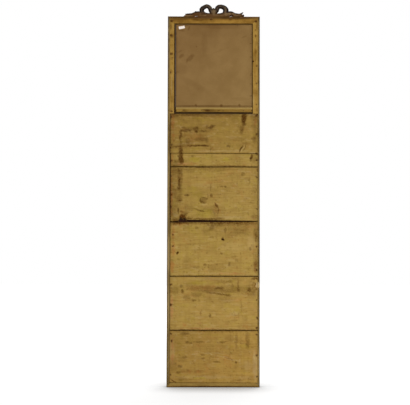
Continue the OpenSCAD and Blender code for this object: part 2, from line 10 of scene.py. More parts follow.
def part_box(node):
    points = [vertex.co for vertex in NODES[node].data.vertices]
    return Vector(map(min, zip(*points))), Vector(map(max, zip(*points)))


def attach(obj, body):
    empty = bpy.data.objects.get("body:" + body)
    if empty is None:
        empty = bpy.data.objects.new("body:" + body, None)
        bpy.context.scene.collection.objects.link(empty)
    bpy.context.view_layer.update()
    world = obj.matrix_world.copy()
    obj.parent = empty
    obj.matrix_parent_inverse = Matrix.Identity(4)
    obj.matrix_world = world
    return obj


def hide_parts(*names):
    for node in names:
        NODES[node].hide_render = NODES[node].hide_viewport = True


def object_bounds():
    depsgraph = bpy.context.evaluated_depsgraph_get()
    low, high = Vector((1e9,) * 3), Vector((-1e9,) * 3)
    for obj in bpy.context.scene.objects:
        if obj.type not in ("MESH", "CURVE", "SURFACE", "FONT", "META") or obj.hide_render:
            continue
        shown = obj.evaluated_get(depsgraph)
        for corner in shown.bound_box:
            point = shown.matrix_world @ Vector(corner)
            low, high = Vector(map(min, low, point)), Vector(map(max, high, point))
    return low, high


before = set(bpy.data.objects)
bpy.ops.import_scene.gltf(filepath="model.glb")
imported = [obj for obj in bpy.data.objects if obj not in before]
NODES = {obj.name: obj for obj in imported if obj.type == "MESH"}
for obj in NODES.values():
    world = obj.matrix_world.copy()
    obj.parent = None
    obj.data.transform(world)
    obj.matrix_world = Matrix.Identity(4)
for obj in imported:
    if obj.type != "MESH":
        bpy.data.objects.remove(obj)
cad_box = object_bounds()
rng = random.Random(7)
MM = 0.001
# A tenth of a millimetre, kept clear inside the box of the solids
HAIR = 0.0001

# Camera of the photograph, fitted to the four corners of the frame's back
VIEW_W, VIEW_H = 410, 405
FOCAL_PX = 905.6
CAM_AT = Vector((0.0783, 4.52, 0.7507))
CAM_PITCH, CAM_YAW, CAM_ROLL = math.radians(2.061), math.radians(-0.4614), math.radians(0.141)
# Column of the photograph down the middle of the part
MIDDLE_U = 213

# Planes of the frame
FRAME_H = 1.845
FRAME_HALF = 0.230
Y_BACK = 0.020
Y_BOARD = 0.019
Y_LEDGE = 0.008
Y_PANEL = 0.006
Y_FACE = -0.006
# Ends of the boards
BOARD_X = (-0.2210, 0.2150)
# Walls of the upper field
FIELD_Z = (1.390, 1.809)
LABEL_W, LABEL_H = 0.030, 0.0132


def camera_axes():
    forward = Vector((
        math.sin(CAM_YAW) * math.cos(CAM_PITCH), -math.cos(CAM_YAW) * math.cos(CAM_PITCH), math.sin(CAM_PITCH)
    ))
    right = forward.cross(Vector((0, 0, 1))).normalized()
    up = right.cross(forward)
    turned = right * math.cos(CAM_ROLL) + up * math.sin(CAM_ROLL)
    return forward, turned, turned.cross(forward)


FORWARD, RIGHT, UP = camera_axes()


def seen(u, v, depth=Y_BACK):
    """Where the line of sight through a point of the photograph meets the plane at that depth."""
    ray = FORWARD + RIGHT * ((u - VIEW_W / 2) / FOCAL_PX) - UP * ((v - VIEW_H / 2) / FOCAL_PX)
    p = CAM_AT + ray * ((depth - CAM_AT.y) / ray.y)
    return p.x, p.z


def to_px(x, z):
    """The point of the photograph at which a point of the back is seen; also for whole arrays."""
    p = (x - CAM_AT.x, Y_BACK - CAM_AT.y, z - CAM_AT.z)
    ahead, across, above = (p[0] * a.x + p[1] * a.y + p[2] * a.z for a in (FORWARD, RIGHT, UP))
    return VIEW_W / 2 + FOCAL_PX * across / ahead, VIEW_H / 2 - FOCAL_PX * above / ahead


# ---------------------------------------------------------------- marks seen in the photograph
# u, v, half width, half height in its pixels, strength; then a turn in degrees, where there is one

CREST_PALE = [
    # Rubbed places and light wood
    (213.6, 12, 2.2, 4.2, 0.55), (225.4, 11, 0.9, 3.4, 0.45), (226.2, 14.4, 2, 1.5, 0.78),
    (229.2, 13.9, 2, 1, 0.8), (229.4, 15.4, 2, 0.9, 0.45), (233.4, 13.9, 1.4, 1, 0.62),
    (188, 15.2, 5.4, 0.8, 0.62), (206.6, 4.9, 1.7, 0.8, 0.3), (236.6, 15.3, 4.4, 0.8, 0.5),
    (222, 15.1, 2.4, 0.7, 0.4), (202.4, 15.1, 4.6, 0.6, 0.36), (205.4, 15.2, 1.3, 0.8, 0.5),
    (216.6, 15, 3, 0.9, 0.3), (211.6, 6.8, 0.9, 1.6, 0.45, -30), (219, 5.6, 3.4, 0.7, 0.15),
    (201.3, 9.8, 0.5, 1.6, 0.3),
]
CREST_RED = [
    # Red-brown and amber varnish low on the carving
    (196.2, 14.4, 3.6, 1.3, 0.8), (203.4, 13.6, 2.6, 1.6, 0.5), (231.4, 15.4, 2.4, 0.9, 0.7),
    (240, 15.6, 2.6, 0.7, 0.55), (199, 12.8, 3, 1.2, 0.45), (211.5, 14.6, 3.2, 1.4, 0.4),
    (214.6, 16.2, 26, 0.9, 0.35), (192, 16.6, 6, 1, 0.45),
]
CREST_DARK = [
    # Old dark stain and painted shade: the shadowed hollows and the edges of the ribbons
    (189.3, 14.2, 5, 0.8, 0.85), (196, 12.1, 2.4, 0.8, 0.7), (197.8, 11.5, 2.2, 1.2, 0.6),
    (205, 14, 4, 1, 0.35), (202, 9.2, 2.2, 3.8, 0.52), (202.9, 10.4, 0.7, 2.2, 0.65),
    (200.1, 10, 0.8, 2.6, 0.6), (203.6, 6, 3, 1.6, 0.55), (208.6, 6.4, 2.4, 1.4, 0.35),
    (204.6, 7.3, 2.8, 0.8, 0.6), (209.6, 10.4, 0.8, 2.8, 0.75, -22), (208.4, 8.4, 1.2, 1.4, 0.6, -30),
    (210.4, 12.2, 1, 1.4, 0.7, -20), (213.4, 9, 0.9, 0.7, 0.85), (217, 10, 0.8, 3, 0.75, 24),
    (216, 11.9, 0.8, 1.2, 0.5, 10), (219.6, 7.3, 4.6, 0.9, 0.6), (219.4, 5.6, 4.6, 1.4, 0.36),
    (226.2, 9.6, 1.8, 3, 0.25), (216.8, 6.2, 2.2, 1.3, 0.3), (222.8, 6.4, 2, 0.9, 0.45, 30),
    (223.9, 9.8, 0.8, 3.2, 0.85), (227.4, 10.2, 0.8, 3.2, 0.85), (226.6, 7.8, 1.2, 0.9, 0.5, 30),
    (231.2, 12, 2.6, 0.8, 0.62), (231.4, 15.2, 2.2, 0.8, 0.8), (228.6, 14.8, 0.9, 0.8, 0.4),
    (241.6, 13.2, 1.6, 0.8, 0.75, -20), (243.2, 15.2, 1.6, 0.8, 0.8), (237.2, 14, 2.6, 0.7, 0.35),
    (205.6, 13.2, 3, 0.8, 0.55), (220.6, 14, 3.2, 0.7, 0.6), (211.6, 13.4, 1.6, 1, 0.35),
    (234.6, 16.3, 9, 0.9, 0.4), (198.2, 17.2, 3, 0.9, 0.4), (193.4, 17, 1.4, 1, 0.35),
]
# Dark marks of the backing board: dirt and brads, and painted shade along its top, bottom and left edges,
# under the strips and above the batten
PANEL_DARK = [
    (181.2, 56.2, 2.2, 4.2, 0.36, -50), (190, 58.4, 3.2, 5.6, 0.36, -40), (187, 60.8, 1.5, 3.2, 0.28, -14),
    (192.6, 55.4, 3, 2, 0.22), (175.4, 65, 0.9, 62, 0.35), (180, 51.4, 4.2, 1.2, 0.24, 30),
    (196.6, 46.6, 1.1, 1.1, 0.4), (244.2, 36.8, 3.8, 1, 0.3, 20), (188.9, 28.4, 0.8, 3.4, 0.45, -24),
    (187.2, 25.6, 2.4, 0.8, 0.3), (181.5, 30.6, 4.6, 1, 0.4, -6), (213.5, 106, 60, 1.2, 0.55),
    (195.8, 105.2, 1.5, 1.7, 0.6), (221.2, 105.5, 1.9, 1.7, 0.7), (239.3, 105, 1.4, 1.6, 0.6),
    (208.5, 24.4, 1.7, 1, 0.6), (250.9, 43.5, 1.8, 0.6, 0.6), (250.9, 57, 1.8, 0.6, 0.55),
    (250.9, 75, 1.6, 0.6, 0.5), (250.9, 84, 1.6, 0.6, 0.5), (250.9, 96, 1.6, 0.7, 0.55),
    (176.4, 60, 1.3, 60, 0.3), (177.5, 72, 2.6, 0.8, 0.3), (213, 24.6, 50, 1.6, 0.4),
    (194, 84.5, 22, 4.6, 0.13, -29), (204.5, 44, 4.5, 16, 0.18), (222, 26.6, 26, 3.4, 0.22),
    (214, 31, 46, 8.5, 0.13), (181, 69, 9, 8, 0.18), (214, 41, 8, 8, 0.12), (222, 50, 14, 1.4, 0.1, 20),
    (240, 99, 12, 2.5, 0.14),
]
BOARD_DARK_MARKS = [
    # Board 1: smears and painted shade below its top edge, under the batten, a long vertical stain near the
    # end, a crack and tool marks
    (173, 115.6, 6, 3, 0.34), (253.5, 116.6, 4.2, 4.6, 0.3), (235.5, 120, 6, 4, 0.2),
    (255.6, 139.5, 2.4, 4.6, 0.3), (185.5, 144.4, 9, 3.4, 0.26), (236, 138.6, 10, 2.4, 0.18),
    (254.2, 158.6, 2.6, 5.4, 0.2), (236, 158.6, 9, 4.4, 0.14), (254.4, 130, 2.6, 15, 0.18),
    (176.5, 161.6, 3.4, 2.6, 0.3), (212, 115, 46, 1.9, 0.34), (190, 114.6, 16, 1.4, 0.3),
    (244, 118.8, 3.1, 6.6, 0.84, -6), (242.3, 127, 2.4, 6, 0.36, -10), (242, 131.5, 1.8, 3.8, 0.34),
    (183.6, 127.5, 2.8, 1, 0.5), (185.6, 130.2, 7.6, 1.6, 0.6, 4), (206, 128.6, 9, 2.6, 0.22),
    (190, 128.2, 9, 2.2, 0.24), (196.2, 129, 3.2, 3.4, 0.55), (196.4, 131.6, 2.4, 1.2, 0.8),
    (204, 131.4, 5.6, 1, 0.55, -2), (211.8, 126.6, 4.8, 1.8, 0.62, 22), (206.5, 127.2, 1.2, 2.2, 0.4),
    (180.4, 137, 1.6, 7.8, 0.62), (180.8, 154.6, 2.8, 10.4, 0.82), (181.2, 160.2, 2.9, 4.4, 0.7),
    (188, 141, 3.6, 3.6, 0.34), (200, 139.4, 7.6, 2.4, 0.34), (206.8, 140.5, 2, 3.4, 0.3),
    (177.4, 146.4, 7.6, 0.8, 0.62, 7), (196.5, 145.6, 12.6, 1, 0.8, 2), (205.6, 145.9, 3.4, 1.2, 0.7),
    (210.5, 148.3, 0.7, 3.8, 0.6), (228, 146.1, 2.2, 1, 0.6), (241.2, 148.6, 0.75, 5, 0.9, -26),
    (244.6, 147.8, 0.6, 4.4, 0.5, -26), (253.6, 138.4, 2.4, 2.4, 0.42), (194, 137, 17, 8, 0.16),
    (246.5, 143.5, 5, 1.5, 0.2, -8), (222, 153.4, 36, 0.6, 0.1), (178, 153.4, 6, 0.6, 0.2),
    (192.6, 156.1, 1.6, 1.1, 0.4), (251.3, 157.6, 1.8, 3.9, 1, -14), (180, 165.4, 9, 1.2, 0.3),
    (212, 165.6, 42, 0.8, 0.35), (196, 167, 26, 0.9, 0.6, -1), (236, 166.5, 22, 0.8, 0.5),
    (213, 169.4, 44, 1.6, 0.2), (256.8, 115.7, 1.3, 1.3, 0.7), (256.6, 134, 1.2, 1.4, 0.6),
    (256.6, 154.4, 1.2, 1.4, 0.6), (256.6, 159.6, 1.1, 1.3, 0.5), (171, 117, 1.2, 1.3, 0.6),
    (170.6, 147.6, 1.4, 1.2, 0.7),
    # Board 2: a stain that runs on, a knot ring, a bent scratch and the broken place at the lower edge
    (175.5, 188, 8.5, 30, 0.2), (173.5, 163, 6, 5, 0.22), (178.8, 172, 2.2, 4, 0.34),
    (178.7, 184, 1.4, 1.5, 0.55), (178.6, 209.6, 1.2, 1.8, 0.4), (172.5, 209, 5, 9, 0.12),
    (218, 211.5, 9, 7.5, 0.13), (208, 219.4, 17, 0.9, 0.55), (174.6, 220.4, 5.4, 1.5, 0.65),
    (188, 218.4, 5, 1.2, 0.5), (181.5, 216.6, 2.6, 2.6, 0.45), (218, 217.9, 3.2, 1.2, 0.2),
    (180, 179, 3, 13, 0.34), (179.1, 181.2, 1, 4.4, 0.7, -4), (178.6, 187.6, 2.4, 2.9, 0.46),
    (181.5, 172, 1.4, 5, 0.3), (187, 195.4, 3.3, 1.3, 0.72), (180, 200.4, 2.8, 1.1, 0.46),
    (203.9, 199.6, 3.2, 2.6, 0.34, 24), (201.4, 201.6, 2.6, 1.5, 0.7, -30), (180.4, 195, 2.4, 8, 0.24),
    (203.6, 197.6, 3.2, 0.8, 0.5), (206.8, 199.3, 1, 2, 0.58, -20), (200.4, 199.2, 0.9, 1.6, 0.5),
    (204.4, 202.4, 2.4, 0.7, 0.5, 8), (211.6, 195.6, 1.4, 2.4, 0.5), (208.4, 195, 0.9, 1.2, 0.35),
    (210.8, 188, 0.7, 5.6, 0.4), (221.6, 186.6, 1.4, 0.9, 0.42), (225, 186.6, 1.6, 1, 0.55),
    (216.4, 205.5, 1, 3.8, 0.72, 30), (218, 211.2, 1, 3, 0.46), (215, 209, 4.4, 5.2, 0.2),
    (197, 209.7, 4.4, 0.9, 0.44, -7), (201.6, 210.7, 3.2, 1.1, 0.66, -10), (178.6, 211.4, 1, 3.2, 0.62),
    (181.8, 211.6, 2, 1.4, 0.5, -30), (183.6, 215, 4.6, 3.2, 0.6, 20), (182.6, 217.6, 4.2, 2.8, 0.7),
    (186.6, 213.6, 2.6, 1.3, 0.42, 34), (174.5, 219, 4.8, 1.2, 0.5), (243, 174.6, 2.2, 2.2, 0.36),
    (249.6, 181, 0.8, 3.4, 0.34), (252, 200.4, 4.4, 0.5, 0.34), (251.5, 202.7, 5, 0.5, 0.34),
    (248.5, 214.5, 0.6, 3, 0.3), (190, 171, 7, 3, 0.16), (200.5, 173.2, 1.4, 1.4, 0.25),
    (171.7, 194.7, 1.5, 1.3, 0.6), (204, 218.6, 24, 0.8, 0.4), (174, 170.5, 6, 6.5, 0.24),
    (234, 175.4, 9, 3.6, 0.17), (174.2, 193, 3.6, 6, 0.26), (188.5, 208.4, 6, 4.6, 0.22),
    (206.5, 209.4, 5, 3.4, 0.24), (174, 215.5, 5, 4, 0.26), (254.5, 190, 2.6, 7, 0.18),
    (254.5, 217, 4.5, 3.6, 0.3), (178, 199, 4, 4, 0.2), (257, 170.2, 1.1, 1.4, 0.6),
    (256.9, 190, 0.9, 1.8, 0.35),
    # Board 3: painted shade below the joint above it, a soiled upper right quarter, two holes, small worn
    # spots
    (183, 222.9, 11, 1.5, 0.5, -3), (212, 222.6, 2.6, 1, 0.62), (219.4, 222.9, 2.4, 0.9, 0.62),
    (213, 222.8, 45, 1.5, 0.36), (236, 222.6, 17, 1.5, 0.42), (226, 224.5, 24, 1.8, 0.26),
    (208, 223.6, 8, 1.2, 0.4), (251, 223.4, 8, 3, 0.34), (255.6, 233.5, 2.6, 8, 0.36),
    (206.5, 229.5, 5, 6, 0.22), (219, 222.8, 9, 3.2, 0.2), (238, 234.2, 16, 2.4, 0.2),
    (187, 227.5, 6, 3.4, 0.16), (255.6, 262, 2.6, 14, 0.2), (170, 250, 1.8, 8, 0.2),
    (217.5, 267.5, 9, 5, 0.13), (189.5, 264, 7, 6, 0.12), (256, 238, 1.2, 7, 0.42),
    (176, 223.4, 7, 1.6, 0.5), (214, 225.8, 7, 3.5, 0.22), (211.8, 227.6, 3, 3.2, 0.36),
    (225.4, 230.4, 1.3, 3.6, 0.4), (236, 227.5, 19, 6.5, 0.26), (241, 228.5, 9, 6, 0.08),
    (222.6, 238.7, 1.45, 1.9, 1), (222.6, 238.9, 1.3, 1.6, 1), (222.6, 238.9, 1.2, 1.4, 1),
    (222.8, 236.9, 0.8, 1.6, 0.5), (177.3, 252.8, 1.5, 1.5, 1), (177.3, 252.8, 1.4, 1.4, 1),
    (177.3, 252.8, 1.3, 1.3, 1), (211.6, 237, 2, 1.4, 0.2), (219.2, 249, 1.6, 1.2, 0.3),
    (221.6, 253.4, 1.7, 1.2, 0.48), (204.8, 264.5, 1.9, 1.1, 0.55), (210, 264.8, 4, 0.7, 0.3),
    (229, 264, 1.4, 2.6, 0.45), (237, 260, 2, 2.2, 0.24), (249.9, 249, 1.2, 2.2, 0.4),
    (202.7, 268.9, 1.8, 1.4, 0.3), (196.2, 267.4, 3.2, 2.2, 0.26), (196.8, 227.6, 1.4, 1.6, 0.3),
    (186.5, 259.5, 4.5, 3.4, 0.16), (178, 259, 2.2, 1, 0.26), (216.4, 264.6, 1, 1, 0.3),
    (255.8, 266, 2.2, 8.5, 0.34), (256.8, 246.5, 1, 1.4, 0.4), (257.2, 270.3, 1, 1.6, 0.5),
    (213, 275.6, 44, 0.5, 0.4),
    # Board 4: a wide soiled band along the grain and dents
    (254.4, 278.4, 4.6, 1, 0.62, 7), (256.9, 278.7, 1.4, 1.3, 0.85), (203, 288.6, 20, 3.6, 0.34),
    (229, 289, 14, 4.6, 0.3), (243, 290, 9, 5.4, 0.26), (224, 282.6, 12, 1.6, 0.16),
    (252, 290.5, 5.6, 11, 0.26), (228, 279.4, 26, 3.6, 0.13), (174, 290.5, 7, 4.6, 0.34),
    (197.5, 294.6, 8, 2.6, 0.32), (226, 299.6, 10, 5.6, 0.2), (227, 291.4, 12, 3, 0.16),
    (245.5, 318.4, 3.6, 3, 0.18), (219.6, 288, 4.6, 1.5, 0.5, 4), (208, 291.6, 13, 2.2, 0.22),
    (225, 295, 7, 1, 0.5, -5), (217, 293.7, 13, 0.75, 0.46, -7), (255.3, 285.2, 0.7, 3.8, 0.6),
    (256.5, 289.2, 1, 1.2, 0.7), (187, 297.5, 3.6, 4.5, 0.26), (181.4, 286, 1.6, 2, 0.52),
    (182.3, 291.2, 1.9, 2.4, 0.62), (194, 300, 3, 1.4, 0.56, -6), (199.4, 300.4, 0.9, 1.4, 0.34),
    (210.2, 315.8, 1.4, 1.8, 0.56), (200.4, 313.2, 1.2, 2, 0.3), (237.8, 286.4, 1.1, 8, 0.36),
    (239, 290.6, 1.1, 2, 0.4), (249.2, 290.2, 2.4, 2.2, 0.58), (253.6, 290.6, 2.2, 4.6, 0.26),
    (229.6, 281.2, 3.6, 1.2, 0.28), (232.6, 286.2, 1.2, 3, 0.24), (241.6, 308, 1, 9, 0.18),
    (245.5, 324, 5, 4, 0.14), (191, 284.5, 8, 2.6, 0.16), (170.2, 305, 0.9, 16, 0.12),
    (169.6, 304.4, 1.3, 1.4, 0.6), (170.2, 284.4, 1.4, 1.4, 0.6), (256.9, 300, 1, 1.4, 0.4),
    (256.9, 318.2, 1.1, 1.3, 0.55), (257.2, 328, 1.2, 1.5, 0.65), (213, 329.6, 44, 0.6, 0.45),
    (183.5, 330, 6, 0.9, 0.5), (213, 331.2, 44, 0.8, 0.36), (253.3, 283.6, 1.2, 3, 0.3),
    # Board 5: scuffed, with a crack along the rail below it
    (184.6, 333.4, 5.4, 1.7, 0.5), (172, 341, 1.5, 1.6, 0.15), (187.2, 342.6, 2.2, 1.6, 0.5),
    (190.8, 343.2, 1.8, 1.3, 0.42), (199.4, 342, 5.8, 1.3, 0.4), (223.4, 342, 4.6, 1, 0.46, 4),
    (208.6, 342.2, 2.6, 1, 0.28), (236.4, 341, 1.6, 9.6, 0.34), (247.6, 340, 2.4, 9.4, 0.32),
    (247.4, 346, 2, 3, 0.24), (202.4, 354.9, 2.6, 1.2, 0.4, -8), (203.1, 358.7, 2.4, 0.9, 0.36),
    (214, 357, 5, 0.6, 0.32, -11), (229, 358.6, 5.4, 0.8, 0.34, -12), (217.2, 362, 4.2, 1.2, 0.46),
    (236.3, 362.4, 1.5, 1.2, 0.7), (179.8, 366.4, 2.4, 1.6, 0.44), (177.8, 373, 2.6, 1.7, 0.46),
    (184.4, 357.2, 2, 1.6, 0.3), (193, 371.6, 14, 2.2, 0.2), (173, 366, 5, 8, 0.24), (182, 379, 5, 3, 0.22),
    (218, 353.5, 5, 3.4, 0.18), (230.5, 339, 4.6, 4, 0.18), (183, 358, 5, 5, 0.15),
    (251.5, 378.6, 4, 3, 0.22), (242.4, 368.8, 2.4, 1.2, 0.2, 20), (213, 349.6, 40, 4.5, 0.08),
    (173, 380.9, 3.6, 0.9, 0.75, -29), (184, 379.6, 12, 0.8, 0.2), (240, 380.2, 3.4, 1, 0.3),
    (257.2, 355.5, 1, 1.6, 0.4),
]
BOARD_PALE_MARKS = [
    (252.4, 114.8, 4.2, 0.9, 0.5), (242.9, 148.2, 0.7, 4.2, 0.35, -26), (188, 143.4, 14, 0.7, 0.3, 3),
    (222, 151, 34, 1.1, 0.26), (252.6, 153, 4, 1.4, 0.3), (181, 163.6, 9, 1.3, 0.25),
    (203.8, 204.4, 3.6, 1.6, 0.24), (175.6, 215.4, 2.6, 1.6, 0.45), (231, 217.5, 15, 1.4, 0.32),
    (209.5, 224, 2.4, 0.5, 0.3), (203.5, 185, 14, 2.4, 0.12), (176, 226, 4, 2, 0.15),
    (251, 243, 5, 9, 0.18), (232, 247, 14, 6, 0.12), (213, 273.4, 40, 0.9, 0.2), (257, 284.9, 1.3, 3.2, 1),
    (257, 285.4, 1, 2.6, 0.8), (255, 366, 2.6, 17, 0.46), (172, 352, 3.2, 15, 0.22),
    (171.5, 308, 2.4, 14, 0.28), (228.4, 285.2, 2.4, 2.6, 0.16), (235, 313.5, 5, 2.6, 0.3),
    (228, 300.5, 9, 1, 0.25), (220.5, 293, 7, 0.4, 0.3, -6), (213, 279, 26, 1.3, 0.2),
    (213, 328.2, 42, 0.8, 0.2), (186, 333, 20, 0.6, 0.15), (194, 354, 5, 0.8, 0.36, 2),
    (208, 353.6, 7.4, 0.5, 0.42, -10), (222.4, 356.6, 8, 0.5, 0.42, -10), (232, 359.8, 8.4, 0.5, 0.4, -9),
    (216, 353.2, 12, 0.5, 0.3, -7), (239.6, 361.4, 0.8, 2.2, 0.4, -20), (204, 377.2, 34, 1.7, 0.26),
    (247, 366, 5, 6, 0.22), (245, 378, 8, 2, 0.2),
]
BOARD_WARM_MARKS = [
    # Red-brown where dust and rust gather, mostly at the ends of the boards
    (172.8, 122, 2.4, 9, 0.95), (173.2, 139, 2, 6, 0.7), (172, 160, 1.4, 8, 0.7),
    (255.2, 121.8, 1.8, 5, 0.6), (171.6, 195, 1.3, 27, 0.8), (173.2, 240, 2.2, 17, 0.75),
    (172.2, 266, 2.4, 8.4, 0.8), (171.8, 305, 2, 22, 0.75), (238, 228.5, 14, 6, 0.1),
    (184.6, 324.2, 3.2, 2.6, 0.6), (245.6, 324, 5.4, 4.2, 0.5), (187, 297, 6, 6, 0.12),
    (172.4, 350, 1.6, 18, 0.7), (192, 372, 16, 2.6, 0.45), (203, 288, 22, 3.6, 0.35),
    (255.4, 265, 2.2, 9, 0.5), (203.6, 200, 3, 2, 0.5), (217, 208, 6, 6, 0.35), (232, 273.6, 20, 1.2, 0.6),
    (206, 328.6, 22, 1.1, 0.6), (183, 216, 6, 5, 0.2), (184, 224, 12, 1.6, 0.6), (189, 163.8, 16, 1.6, 0.5),
    (236, 180, 16, 9, 0.2), (196, 137, 10, 6, 0.2),
]
BOARD_OLIVE_MARKS = [
    (195, 159.6, 7, 2.6, 0.8), (226, 160, 5, 2.4, 0.6), (206, 213, 10, 5, 0.5), (192, 149, 9, 2.4, 0.5),
    (196, 198, 8, 16, 0.35), (212, 119.4, 30, 2.4, 0.4), (200, 231, 16, 10, 0.3), (205, 283, 22, 2.4, 0.55),
    (231, 281.6, 5, 3.4, 0.5), (199.8, 378.2, 8, 1.4, 0.8), (240, 347, 14, 3.6, 0.4),
    (180, 340, 5, 8, 0.35), (176, 208, 5, 10, 0.35), (209, 334.8, 24, 1.6, 0.35), (243, 183, 8, 6, 0.3),
]
BATTEN_DARK = [
    (207.4, 110.6, 3.6, 1.2, 0.75), (218.8, 110.4, 2.2, 0.9, 0.65), (213, 110.8, 5, 1.2, 0.35),
    (208.5, 110, 9.5, 2.2, 0.52), (251.8, 110.4, 1, 1.4, 0.95), (176.2, 110.6, 1, 1.4, 0.6),
    (184, 110.2, 2.4, 1.2, 0.3), (213, 111.9, 44, 0.5, 0.5),
]
STRIP_DARK = [
    (170.4, 21.4, 3.6, 3, 0.3), (257.2, 21.4, 2.6, 3.2, 0.32), (170.6, 109.6, 2.2, 2.8, 0.28),
    (257.2, 109.6, 1.8, 3, 0.3), (171.4, 20.9, 1.9, 1.5, 0.95), (255.8, 21.4, 1.9, 1.6, 0.95, -30),
    (211.2, 19.4, 1.8, 1.3, 0.85), (171.2, 35.3, 2.3, 1.7, 0.75), (171.4, 53.8, 2.2, 1.9, 0.75),
    (172.4, 57.6, 1.2, 1, 0.4), (170.1, 72.5, 1.6, 1.6, 0.6), (171.5, 111.4, 1.8, 1.2, 0.75),
    (255.6, 30, 1.2, 1.4, 0.4), (255.6, 35.8, 1.5, 1.8, 0.5), (255.8, 51.6, 1.5, 2.8, 0.36),
    (253.2, 61.4, 1.5, 1.2, 1), (256.8, 66, 1.3, 1.6, 0.5), (256.5, 83.4, 1.3, 1.6, 0.45),
    (256.5, 104.4, 1.3, 1.6, 0.32), (173, 19.4, 5, 1.8, 0.4), (191, 21.8, 7, 1.8, 0.22),
    (254, 20.6, 4, 2.6, 0.25), (182, 18.9, 13, 1.6, 0.45), (237.5, 18.9, 7.5, 1.1, 0.6),
    (200, 18.9, 15, 2.6, 0.5), (207, 20.8, 13, 2.8, 0.26), (170.4, 26.5, 2.6, 4, 0.3),
    (222, 18.9, 16, 1.9, 0.42), (230.4, 19.3, 2.6, 1.6, 0.6), (196, 19.8, 5, 1.6, 0.3),
    (178, 20.8, 9, 2.4, 0.3), (170.6, 27, 1.6, 4.5, 0.3), (257, 26, 0.9, 5, 0.5), (171, 92, 1.5, 5, 0.25),
    (225, 18.7, 9, 0.7, 0.4), (171.2, 36, 3.4, 2.8, 0.34), (169.6, 54, 1.4, 2.6, 0.4),
    (171.6, 58.5, 2.4, 2.6, 0.22), (170.6, 71.6, 2.8, 3.6, 0.32), (171.2, 83.5, 3, 4.4, 0.18),
    (171.6, 99, 2.8, 4.6, 0.22), (255.2, 57.5, 3, 5.6, 0.2), (255.6, 93, 2.8, 5, 0.22),
    (255.9, 44, 2.2, 4, 0.2),
]
STRIP_PALE = [
    (253.6, 100, 0.8, 8, 0.3), (171.6, 85, 1, 14, 0.25),
]
RIM_DARK = [
    (190, 18, 34, 1.7, 0.5), (236, 18, 30, 1.7, 0.6), (167.4, 19, 2.4, 4, 0.6), (259.6, 19, 1.8, 4, 0.8),
    (168.2, 65, 1, 46, 0.45), (258.8, 62, 1, 46, 0.35), (169.8, 142, 1, 28, 0.6), (170, 194, 0.9, 34, 0.75),
    (168, 262, 1, 5, 0.15), (213, 387.2, 60, 1.5, 0.8), (258.8, 150, 1.1, 40, 0.35),
    (258.7, 270, 1.1, 70, 0.25), (168, 360, 1.3, 30, 0.12), (188, 382.5, 16, 0.7, 0.55),
    (173, 381, 3.6, 1, 0.7, -29), (167.9, 383.6, 0.9, 1.7, 0.35),
]
RIM_PALE = [
    (258.2, 285, 2.1, 3.8, 0.78), (168.7, 256, 1.5, 25, 0.36), (168.9, 306, 1.8, 26, 0.26),
    (169.4, 356, 1.2, 24, 0.18), (257.8, 362, 1.4, 22, 0.42), (167.8, 30, 0.9, 3, 0.35),
    (168, 190, 0.8, 45, 0.25), (259, 190, 0.7, 40, 0.2),
]


def full(mark):
    """The mark with its turn, which is 0 where the table gives none."""
    return mark if len(mark) == 6 else (*mark, 0)


def px_marks(table, depth=Y_BACK):
    """Marks of the photograph laid on the plane at that depth, in metres."""
    out = []
    for u, v, ru, rv, *rest in table:
        x, z = seen(u, v, depth)
        x1, _ = seen(u + 1, v, depth)
        _, z1 = seen(u, v + 1, depth)
        out.append((x, z, ru * abs(x1 - x), rv * abs(z1 - z), *rest))
    return out


def near(marks, low_v, high_v):
    return [m for m in marks if low_v <= m[1] <= high_v]


def on_side(marks, side):
    """Marks of one side of the part; its right is the left of the photograph."""
    return [m for m in marks if m[0] == MIDDLE_U or (m[0] < MIDDLE_U) == (side == "right")]


# ---------------------------------------------------------------- materials

class Nodes:
    """A node tree with short helpers."""

    def __init__(self, tree):
        self.tree = tree
        tree.nodes.clear()

    def put(self, socket, value):
        if isinstance(value, bpy.types.NodeSocket):
            self.tree.links.new(value, socket)
        else:
            socket.default_value = value

    def node(self, kind, inputs=None, **props):
        """A new node with its settings, and values or links on its inputs."""
        n = self.tree.nodes.new(kind)
        for name, value in props.items():
            setattr(n, name, value)
        for which, value in (inputs or {}).items():
            self.put(n.inputs[which], value)
        return n

    def math(self, op, a, b=0.0, c=0.0):
        return self.node("ShaderNodeMath", {0: a, 1: b, 2: c}, operation=op).outputs[0]

    def mul(self, a, b):
        return self.math("MULTIPLY", a, b)

    def mul_add(self, a, b, c):
        return self.math("MULTIPLY_ADD", a, b, c)

    def sub(self, a, b):
        return self.math("SUBTRACT", a, b)


